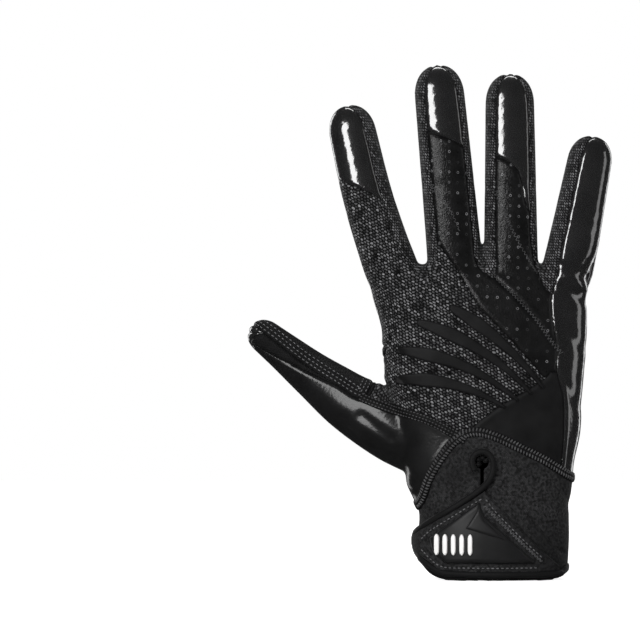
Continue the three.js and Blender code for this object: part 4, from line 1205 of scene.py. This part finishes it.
def refined(points, normals, faces):
    """Each triangle as four."""
    pairs, which = np.unique(np.sort(all_edges(faces), axis=1), axis=0, return_inverse=True)
    which = which.ravel() + len(points)
    ab, bc, ca = np.split(which, 3)
    a, b, c = faces.T
    faces = np.vstack([np.column_stack(t) for t in ((a, ab, ca), (ab, b, bc), (ca, bc, c), (ab, bc, ca))])
    halves = [np.vstack([values, values[pairs].mean(1)]) for values in (points, normals)]
    halves[1] /= np.linalg.norm(halves[1], axis=1)[:, None]
    return (*halves, faces)


def patch_body(outline, lift, thickness, roll, both_sides=False, rounds=1):
    """A body that follows the skin from one lift up by a thickness, inside an outline."""
    field = outline_field(outline)
    top = points + hand_normals * (lift + thickness)
    inside = field(top)[0] > -PATCH_MARGIN
    if not both_sides:
        inside &= top[:, 1] < parting_depth(top[:, 0], top[:, 2]) + PARTING_MARGIN
    chosen = faces[inside[faces].all(1)]
    used, chosen = np.unique(chosen, return_inverse=True)
    part_points, part_normals, part_faces = top[used], hand_normals[used], chosen.reshape(-1, 3)
    for _ in range(rounds):
        part_points, part_normals, part_faces = refined(part_points, part_normals, part_faces)
    sheet = Skin(part_points, part_faces, "out")
    sheet.cut("out", "in", field, snap=0.05)
    normals = vertex_normals(sheet.points, sheet.faces)
    return sheet_body(sheet.points, normals, sheet.faces[sheet.labels == "in"], thickness, roll)


def strip_outline(line, width_at):
    """A closed outline along a line, as wide at each share of it as width_at says."""
    half = np.array([width_at(i / (len(line) - 1)) / 2 for i in range(len(line))])[:, None]
    return np.vstack([beside(line, half), beside(line, -half)[::-1]])


def trim(name, slot, nodes, outline, lift, thickness, roll, finish=None, **more):
    """A piece that follows the skin inside an outline. It is dressed and counted."""
    body = patch_body(outline, lift, thickness, roll, **more)
    dress(body_object(name, body, front_plan), slot, *nodes, finish=finish)
    print(name, len(body[1]), "triangles")


# %% [markdown]
# Four raised fins fan out over the back of the hand. They are welded on as thin film, so they have soft edges
# and no stitches. Each is a strip along a bowed line that is widest near its tip.

# %% The fins
GAP = 0.3
FIN_HEIGHT = 0.8
FIN_STATIONS, FIN_WIDTHS = (0, 0.75, 0.96, 1), (1.6, 6.8, 4.2, 2.6)
# root, tip and bow, as shares
FINS = [
    ((0.225, 0.61), (-0.2, 0.87), 0.03),
    ((0.17, 0.592), (-0.35, 0.82), 0.045),
    ((0.11, 0.57), (-0.44, 0.73), 0.05),
    ((0.05, 0.548), (-0.45, 0.635), 0.045),
]
for number, (root, tip, bow) in enumerate(FINS, 1):
    start, end = place(root), place(tip)
    side = np.array([end[1] - start[1], start[0] - end[0]])
    side /= np.linalg.norm(side)
    t = np.linspace(0, 1, 24)[:, None]
    line = start + (end - start) * t + side * bow * PALM_WIDTH * 4 * t * (1 - t)
    outline = strip_outline(line, lambda share: np.interp(share, FIN_STATIONS, FIN_WIDTHS))
    trim(f"raised_fin_{number}", "smooth_film", [f"back_fin_{number}"], outline, 0, GAP + FIN_HEIGHT,
         round_roll(0.9, 0.6))

# %% [markdown]
# The closure is a stack: a hook fastener on the cuff, the neoprene flap over it, and a moulded pad on the
# flap. Each layer starts at the height where the one below it ends. The pad has a large round to its edge and
# a low wedge on top, as a moulding has.

# %% The flap and its pad
FASTENER_THICKNESS = 0.9
PATCH_TOP = GAP + FASTENER_THICKNESS
FLAP_BASE = PATCH_TOP + GAP
FLAP_THICKNESS = 1.8
FLAP_TOP = FLAP_BASE + FLAP_THICKNESS
PAD_THICKNESS = 1.6
PAD_SINK = 0.1
FACET_SINK, FACET_HEIGHT = 0.3, 1.0
FLAP = [(-0.385, 0.122), (-0.37, 0.142), (-0.335, 0.16), (-0.25, 0.196), (-0.17, 0.228), (-0.1, 0.258),
        (-0.045, 0.285), (0.0, 0.248), (0.06, 0.203), (0.13, 0.153), (0.22, 0.093), (0.3, 0.046), (0.3, 0.03),
        (0.15, 0.026), (-0.1, 0.026), (-0.25, 0.032), (-0.335, 0.075), (-0.37, 0.1)]
PATCH = [(-0.24, 0.07), (-0.075, 0.07), (-0.075, 0.2), (-0.19, 0.18)]
PAD = [(-0.072, 0.25), (-0.05, 0.208), (0.19, 0.056), (-0.225, 0.056), (-0.285, 0.092), (-0.3, 0.135)]
FACET = [(-0.07, 0.235), (-0.135, 0.166), (0.055, 0.128), (-0.05, 0.195)]
trim("flap_cloth", "neoprene", ["closure_flap"], place(FLAP), FLAP_BASE, FLAP_THICKNESS, round_roll(0.9, 0.8))
trim("fastener", "black_rubber", ["closure_patch"], place(PATCH), GAP, FASTENER_THICKNESS,
     round_roll(0.4, 0.3))
trim("moulded_pad", "black_rubber", ["flap_pad"], place(PAD), FLAP_TOP - PAD_SINK,
     PAD_THICKNESS + GAP + PAD_SINK, round_roll(2.2, 1.2))
trim("pad_facet", "black_rubber", [], place(FACET), FLAP_TOP + PAD_THICKNESS - FACET_SINK, GAP + FACET_HEIGHT,
     round_roll(1.6, 0.9), rounds=2)

# %% [markdown]
# Five short white ribs on the pad give the fingers grip when the flap is pulled. They are small, so their
# sheet is made twice as fine before the outline is cut.

# %% The grip ribs
RIB_HEIGHT = 1.2
RIB_CENTRE = place((-0.19, 0.115))
RIB_PITCH, RIB_WIDTH, RIB_LENGTH = 4.0, 2.2, 10.0
for number in range(1, 6):
    middle = RIB_CENTRE + ((number - 3) * RIB_PITCH, 0)
    ends = np.linspace(middle - (0, RIB_LENGTH / 2), middle + (0, RIB_LENGTH / 2), 12)
    outline = strip_outline(ends, lambda share: RIB_WIDTH * max(1 - abs(2 * share - 1) ** 8, 0.25))
    trim(f"white_rib_{number}", "white_rubber", [f"grip_rib_{number}"], outline, FLAP_TOP + PAD_THICKNESS,
         GAP + RIB_HEIGHT, round_roll(0.7, 0.6), rounds=2)

# %% [markdown]
# The hem is a tape folded over the cuff's edge, so it is thicker than the cuff on both of its faces. It runs
# round the whole wrist, and its outline is therefore a band that reaches past both sides of the hand.

# %% The hem
HEM_HEIGHT, HEM_BULGE, HEM_REACH = 4.0, 0.8, 120.0


def widened(line):
    """A line with its ends run out level, past the sides of the hand."""
    return np.vstack([[(-HEM_REACH, line[0][1])], line, [(HEM_REACH, line[-1][1])]])


hem_outline = np.vstack([widened(HEM_EDGE), widened(HEM_EDGE + (0, HEM_HEIGHT))[::-1]])
trim("rolled_hem", "binding_tape", ["hem_binding"], hem_outline, -CUFF_WALL - HEM_BULGE,
     CUFF_WALL + 2 * HEM_BULGE, round_roll(1.4, 1.0), both_sides=True)

# %% [markdown]
# ## Stitches and binding
# Stitches have to lie on the skin wherever a flat seam line says. A BVH tree tells where a straight line
# first meets a mesh, so each place of the drawing is shot at the hand from the front or the back. Past the
# edge of the hand, where a shot misses, a binding takes the nearest place on the skin instead.

# %% Finding the skin
SHOT_PITCH = 0.7
hand_tree = BVHTree.FromPolygons([tuple(at) for at in points], faces.tolist())


def on_skin(flat, face, lift, wrap=False):
    """The place at a height over the skin that shows at a place of the drawing, and the way out."""
    aim = np.array(flat, float)
    for _ in range(4):
        shot = Vector((aim[0], face * FAR, aim[1]))
        hit, _, index, _ = hand_tree.ray_cast(shot, Vector((0, -face, 0)))
        if hit is None and not wrap:
            return None
        if hit is None:
            edge = Vector((aim[0], float(parting_depth(aim[0], aim[1])), aim[1]))
            hit, _, index, _ = hand_tree.find_nearest(edge)
        out = hand_normals[faces[index]].mean(0)
        out /= np.linalg.norm(out)
        at = np.array(hit) + out * lift
        aim += np.array(flat) - at[[0, 2]]
    return at, out


def evenly(rows, pitch, measured=None):
    """Rows of numbers, evenly spaced again along the line that their first columns make."""
    steps = np.diff(rows[:, :measured], axis=0)
    length = np.concatenate([[0], np.cumsum(np.linalg.norm(steps, axis=1))])
    stations = np.linspace(0, length[-1], max(round(length[-1] / pitch), 1) + 1)
    return np.column_stack([np.interp(stations, length, column) for column in rows.T])


def laid(line, face, pitch, lift=0.0):
    """Evenly spaced places along a flat line on the skin, the ways out of it and the ways along."""
    found = [on_skin(at, face, lift) for at in evenly(line, SHOT_PITCH)]
    both = evenly(np.array([np.concatenate(pair) for pair in found if pair]), pitch, measured=3)
    out = both[:, 3:] / np.linalg.norm(both[:, 3:], axis=1)[:, None]
    return both[:, :3], out, directions(both[:, :3])


print("the wrist seam is", len(laid(WRIST, BACK, 1.0)[0]) - 1, "mm long on the skin")

# %% [markdown]
# A stitch shows as a short bead of thread: it comes up through the cloth, swells and goes down again. A row
# of copies of one bead would not follow the skin's turns. Here each stitch is a small loft of its own, and a
# seam joins hundreds of them in one mesh. The seams differ only in how the stitches stand to the line.

# %% Threads
THREAD_SIDES = 6
THREAD_STEPS = np.array([-1, -0.7, 0, 0.7, 1])
THREAD_SWELL = np.array([0.35, 0.9, 1, 0.9, 0.35])
THREAD_RISE = np.array([-0.7, 0.1, 0.45, 0.1, -0.7])
thread_turn = (np.arange(THREAD_SIDES) * 2 * math.pi / THREAD_SIDES)[:, None]


def thread(start, end, out, radius):
    """One stitch: it comes up through the cloth, swells and goes down again."""
    half = (end - start) / 2
    side = np.cross(out, half)
    side /= np.linalg.norm(side)
    spine = (start + end) / 2 + THREAD_STEPS[:, None] * half + (THREAD_RISE * radius)[:, None] * out
    circle = np.cos(thread_turn) * side + np.sin(thread_turn) * out
    return loft([middle + radius * swell * circle for middle, swell in zip(spine, THREAD_SWELL)])


def thread_object(name, stitches, finish="seam_thread"):
    """All the stitches of a seam as one piece."""
    print(name, len(stitches), "stitches")
    obj = new_object(name, *joined(stitches))
    obj.data.shade_smooth()
    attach(obj, "root")
    return dress(obj, "seam_thread", finish=finish)


def dashes(line, face, pitch, share=0.62, radius=0.24, lift=0.0):
    """Running stitches along a line, each a share of the way to the next."""
    at, out, along = laid(line, face, pitch, lift)
    return [thread(a, a + (b - a) * share, o, radius) for a, b, o in zip(at[:-1], at[1:], out)]


def cross_threads(line, face, pitch, reach, slant, radius, lift):
    """Short threads across a seam from its middle to both sides, each pair slanting along the seam."""
    at, out, along = laid(line, face, pitch, lift)
    stitches = []
    for a, o, t in zip(at, out, along):
        side = np.cross(o, t)
        for turn in (1, -1):
            stitches.append(thread(a + side * turn * 0.2, a + side * turn * reach + t * slant, o, radius))
    return stitches


def zigzag(line, face, pitch, widths, radius, lift=0.0):
    """Stitches that cross a seam to and fro, wide at its start and narrow at its end."""
    at, out, along = laid(line, face, pitch, lift)
    half = np.linspace(*widths, len(at))[:, None] / 2 * np.where(np.arange(len(at)) % 2, 1, -1)[:, None]
    ends = at + np.cross(out, along) * half
    return [thread(a, b, o, radius) for a, b, o in zip(ends[:-1], ends[1:], out)]


# %% [markdown]
# The seam over the wrist is a cover stitch: a raised cord of cloth under two rows of thick threads. Its
# branch along the thumb is flatter, with its threads along the seam. The raised cord is a lifted strip, as
# the fins are, and the threads are laid on it.

# %% The wrist seam
RIDGE_WIDTH, RIDGE_HEIGHT, RIDGE_SINK = 4.4, 1.1, 0.5
for part, line in (("arch", WRIST), ("branch", THUMB_BACK)):
    outline = strip_outline(line, lambda share: RIDGE_WIDTH)
    trim(f"seam_ridge_{part}", "seam_thread", ["wrist_seam"], outline, -RIDGE_SINK, RIDGE_SINK + RIDGE_HEIGHT,
         round_roll(2.0, 0.9), finish="ridge_cloth")
stitches = cross_threads(WRIST, BACK, 1.55, 2.1, 0.55, 0.42, RIDGE_HEIGHT - 0.1)
for offset in (-1.5, 0, 1.5):
    stitches += dashes(beside(THUMB_BACK, offset), BACK, 1.7, 0.7, 0.3, RIDGE_HEIGHT - 0.2)
thread_object("cover_stitches", stitches)

# %% [markdown]
# The film on the middle and ring fingers is joined by fine zigzags, which keep a seam stretchy. They narrow
# towards the knit, so each one is wide at one end and thin at the other.

# %% Ladder stitches
LADDERS = [
    seam([(-0.285, 1.26), (-0.25, 1.225), (-0.201, 1.181), (-0.155, 1.11)]),
    seam([(0.01, 1.24), (0.045, 1.18), (0.087, 1.111), (0.142, 1.04), (0.2, 0.975)]),
]
LADDER_RADIUS = 0.17
stitches = zigzag(PINHOLE, BACK, 0.9, (0.8, 2.4), LADDER_RADIUS)
for ladder in LADDERS:
    stitches += zigzag(ladder, BACK, 1.0, (2.6, 0.8), LADDER_RADIUS)
thread_object("ladder_stitches", stitches)

# %% [markdown]
# Plain running stitches hold the edges of the palm, of the thumb's strip and of the cuff. They lie a little
# beside the seam line, on the cloth that is turned under.

# %% Running stitches
CUFF_SEAMS = (PALM_CUFF_THUMB, PALM_CUFF_PINKY)
# line, how far beside it, face and pitch
RUNNING_SEAMS = [(line, -1.7, PALM, 2.6) for line in WEBS.values()]
RUNNING_SEAMS += [(THUMB_STRIP_BACK, offset, BACK, 2.4) for offset in (1.4, 3.2, 5.0)]
RUNNING_SEAMS += [(THUMB_PALM, -1.5, PALM, 2.6), (THUMB_PALM[:40], -3.1, PALM, 2.6)]
RUNNING_SEAMS += [(line, offset, PALM, 2.6) for line in CUFF_SEAMS for offset in (1.6, -1.6)]
stitches = []
for line, offset, face, pitch in RUNNING_SEAMS:
    stitches += dashes(beside(line, offset), face, pitch)
thread_object("running_stitches", stitches, "thread_with_painted_highlight")

# %% [markdown]
# A rolled tape binds the keyhole and runs on as the edge of the flap. It is a tube laid along one line, which
# starts low on the cuff and climbs to the height of the flap as it spirals out of the keyhole.

# %% The binding
BINDING = [(-0.088, 0.348), (-0.1057, 0.375), (-0.0905, 0.4), (-0.055, 0.411), (-0.0195, 0.4),
           (-0.004, 0.375), (-0.008, 0.342), (-0.032, 0.31), (-0.07, 0.286), (-0.17, 0.238), (-0.283, 0.19),
           (-0.345, 0.158), (-0.371, 0.138), (-0.378, 0.122), (-0.371, 0.104), (-0.338, 0.073),
           (-0.25, 0.027), (-0.15, 0.021), (-0.04, 0.019), (0.07, 0.019), (0.17, 0.019), (0.25, 0.02),
           (0.31, 0.022)]
BINDING_WIDTH, BINDING_HEIGHT, BINDING_CLIMB, BINDING_SIDES = 3.0, 2.6, 0.37, 12
binding_line = evenly(seam(BINDING, 12), 1.0)
climb = np.clip(np.arange(len(binding_line)) / len(binding_line) / BINDING_CLIMB, 0, 1)
heights = GAP + BINDING_HEIGHT / 2 + (PATCH_TOP - GAP) * climb
pairs = [on_skin(at, BACK, height, wrap=True) for at, height in zip(binding_line, heights)]
middles, outs = (np.array([pair[k] for pair in pairs]) for k in (0, 1))
for _ in range(6):
    middles[1:-1] = (middles[:-2] + 2 * middles[1:-1] + middles[2:]) / 4
    outs[1:-1] = (outs[:-2] + 2 * outs[1:-1] + outs[2:]) / 4
along = directions(middles)
sides = np.cross(outs, along)
sides /= np.linalg.norm(sides, axis=1)[:, None]
outs = np.cross(along, sides)
turn = (np.arange(BINDING_SIDES) * 2 * math.pi / BINDING_SIDES)[:, None]
rings = [middle + np.cos(turn) * side * BINDING_WIDTH / 2 + np.sin(turn) * out * BINDING_HEIGHT / 2
         for middle, side, out in zip(middles, sides, outs)]
tube = cloth_object("keyhole_binding", *loft(rings), front_plan)
dress(tube, "binding_tape", "flap_binding")
print("binding:", len(rings), "rings")

# %% [markdown]
# Where the tape turns tightly round the keyhole, it gathers. A thick short thread from the tape to the middle
# of the hole makes each gather, in the tape's own finish.

# %% The gathers
PLEAT_ANGLES = np.radians([20, 80, 145, 215])
PLEAT_START, PLEAT_END, PLEAT_LIFT, PLEAT_RADIUS = 3.5, 0.7, -0.7, 1.15
pleats = []
for angle in PLEAT_ANGLES:
    spoke = np.array([math.cos(angle), math.sin(angle)])
    (start, out), (end, _) = (on_skin(KEYHOLE + spoke * reach, BACK, PLEAT_LIFT)
                              for reach in (PLEAT_START, PLEAT_END))
    pleats.append(thread(start, end, out, PLEAT_RADIUS))
thread_object("keyhole_pleats", pleats, "binding_tape")

# %% [markdown]
# The flap is stitched all round, just inside its edge. Along its upper edge a dense zigzag of thick thread
# gives the ribbing that a thumb can hold.

# %% The flap's stitches
FLAP_SEAMS = [
    seam([(-0.33, 0.13), (-0.3, 0.152), (-0.17, 0.212), (-0.09, 0.247), (-0.052, 0.262)]),
    seam([(-0.04, 0.258), (0.0, 0.222), (0.06, 0.178), (0.13, 0.129), (0.22, 0.07)]),
    seam([(-0.33, 0.096), (-0.25, 0.047), (-0.1, 0.041), (0.2, 0.041)]),
]
FLAP_RIBBING = seam([(-0.045, 0.238), (0.0, 0.205), (0.07, 0.157), (0.14, 0.109), (0.215, 0.06)])
stitches = []
for line in FLAP_SEAMS:
    stitches += dashes(line, BACK, 2.3, 0.6, 0.26, FLAP_TOP)
thread_object("flap_stitches", stitches, "thread_with_painted_highlight")
thread_object("flap_ribbing", zigzag(FLAP_RIBBING, BACK, 0.9, (2.4, 1.6), 0.34, FLAP_TOP - 0.1))

# %% [markdown]
# ## Camera, floor and light
# The photograph looks straight at the back of the glove through a long lens, on white. The camera stands 2.5
# metres off, level with the middle of the frame. Its lens is worked out from the width that it has to see.

# %% Camera
FRAME_CENTRE = Vector((-83.0, 0, 124.0)) * MM
FRAME_WIDTH = 307.2 * MM
CAMERA_DISTANCE = 2.5
camera_data = bpy.data.cameras.new("camera")
camera_data.sensor_width = 36
camera_data.lens = camera_data.sensor_width * CAMERA_DISTANCE / FRAME_WIDTH
camera = bpy.data.objects.new("camera", camera_data)
camera.location = FRAME_CENTRE + Vector((0, -CAMERA_DISTANCE, 0))
camera.rotation_euler = (math.pi / 2, 0, 0)
bpy.context.scene.collection.objects.link(camera)
bpy.context.scene.camera = camera
print("lens:", round(camera_data.lens), "mm")

# %% [markdown]
# The floor is a plain pale sheet. It glows for the camera alone, so that it ends in the white of the air with
# no line between them. The glossy parts don't mirror it, or they would turn grey from below.

# %% Floor
FLOOR_REACH, FLOOR_DROP, FLOOR_GLOW = 1500, 0.4, 0.85
floor_corners = [(x * FLOOR_REACH, y * FLOOR_REACH, -FLOOR_DROP)
                 for x, y in ((-1, -1), (1, -1), (1, 1), (-1, 1))]
floor = new_object("floor", floor_corners, [(0, 1, 2, 3)])
floor_material = bpy.data.materials.new("pale_floor")
floor_material.use_nodes = True
paper = floor_material.node_tree
paper_shader = paper.nodes["Principled BSDF"]
paper_shader.inputs["Base Color"].default_value = (0.9, 0.9, 0.9, 1)
paper_shader.inputs["Roughness"].default_value = 0.9
paper_shader.inputs["Specular IOR Level"].default_value = 0.0
paper_shader.inputs["Emission Color"].default_value = (1, 1, 1, 1)
paper_seen = paper.nodes.new("ShaderNodeLightPath")
paper_glow = math_node(paper, "MULTIPLY", paper_seen.outputs["Is Camera Ray"], FLOOR_GLOW)
paper.links.new(paper_glow, paper_shader.inputs["Emission Strength"])
floor.data.materials.append(floor_material)
floor.visible_glossy = False
print("floor:", 2 * FLOOR_REACH, "mm square")

# %% [markdown]
# A tall softbox on the left draws the bright streaks down the fingertips, and a dim one on the right picks
# out the far edges. Black cloth needs much light and glossy leather little, so the widest light is one that
# nothing mirrors. Two more behind the hand draw thin edges down its sides, and a strip over it draws an arc
# across each fingertip.

# %% Lights
def softbox(name, location, target, size, power, mirrored=True):
    """A rectangle of light that looks at a target."""
    light = bpy.data.lights.new(name, "AREA")
    light.shape = "RECTANGLE"
    light.size, light.size_y = size
    light.energy = power
    obj = bpy.data.objects.new(name, light)
    obj.location = location
    obj.rotation_euler = (Vector(target) - Vector(location)).to_track_quat("-Z", "Y").to_euler()
    obj.visible_glossy = mirrored
    bpy.context.scene.collection.objects.link(obj)
    print(name, power, "W")


HAND_MIDDLE = (-0.03, 0, 0.13)
FINGERTIPS = (-0.03, 0, 0.2)
softbox("streak_left", (-0.72, -1.22, 0.6), FINGERTIPS, (0.5, 0.95), 10.7)
softbox("wide_fill", (-0.3, -1.7, 0.9), HAND_MIDDLE, (1.6, 1.6), 30, mirrored=False)
softbox("soft_right", (1.3, -0.35, 0.25), HAND_MIDDLE, (0.4, 1.2), 1.6)
softbox("top", (0, 0.45, 1.6), HAND_MIDDLE, (1.0, 0.3), 5)
softbox("rim_left", (-0.95, 1.1, 0.3), HAND_MIDDLE, (0.35, 1.4), 5)
softbox("rim_right", (0.95, 1.1, 0.3), HAND_MIDDLE, (0.35, 1.4), 3)

# %% [markdown]
# The air is white where the camera looks straight into it, and nearly dark for everything else. A white room
# would lie as a grey veil on every glossy panel.

# %% The air round the glove
AIR_SEEN, AIR_LIGHT = 1.0, 0.05
world = bpy.data.worlds.new("studio")
world.use_nodes = True
bpy.context.scene.world = world
studio = world.node_tree
dim = studio.nodes["Background"]
bright = studio.nodes.new("ShaderNodeBackground")
for air, strength in ((dim, AIR_LIGHT), (bright, AIR_SEEN)):
    air.inputs["Color"].default_value = (1, 1, 1, 1)
    air.inputs["Strength"].default_value = strength
seen = studio.nodes.new("ShaderNodeLightPath")
either = studio.nodes.new("ShaderNodeMixShader")
studio.links.new(seen.outputs["Is Camera Ray"], either.inputs[0])
studio.links.new(dim.outputs[0], either.inputs[1])
studio.links.new(bright.outputs[0], either.inputs[2])
studio.links.new(either.outputs[0], studio.nodes["World Output"].inputs["Surface"])
bpy.context.scene.view_settings.view_transform = "Standard"
print("air:", AIR_SEEN, "to the camera and", AIR_LIGHT, "to the glove")
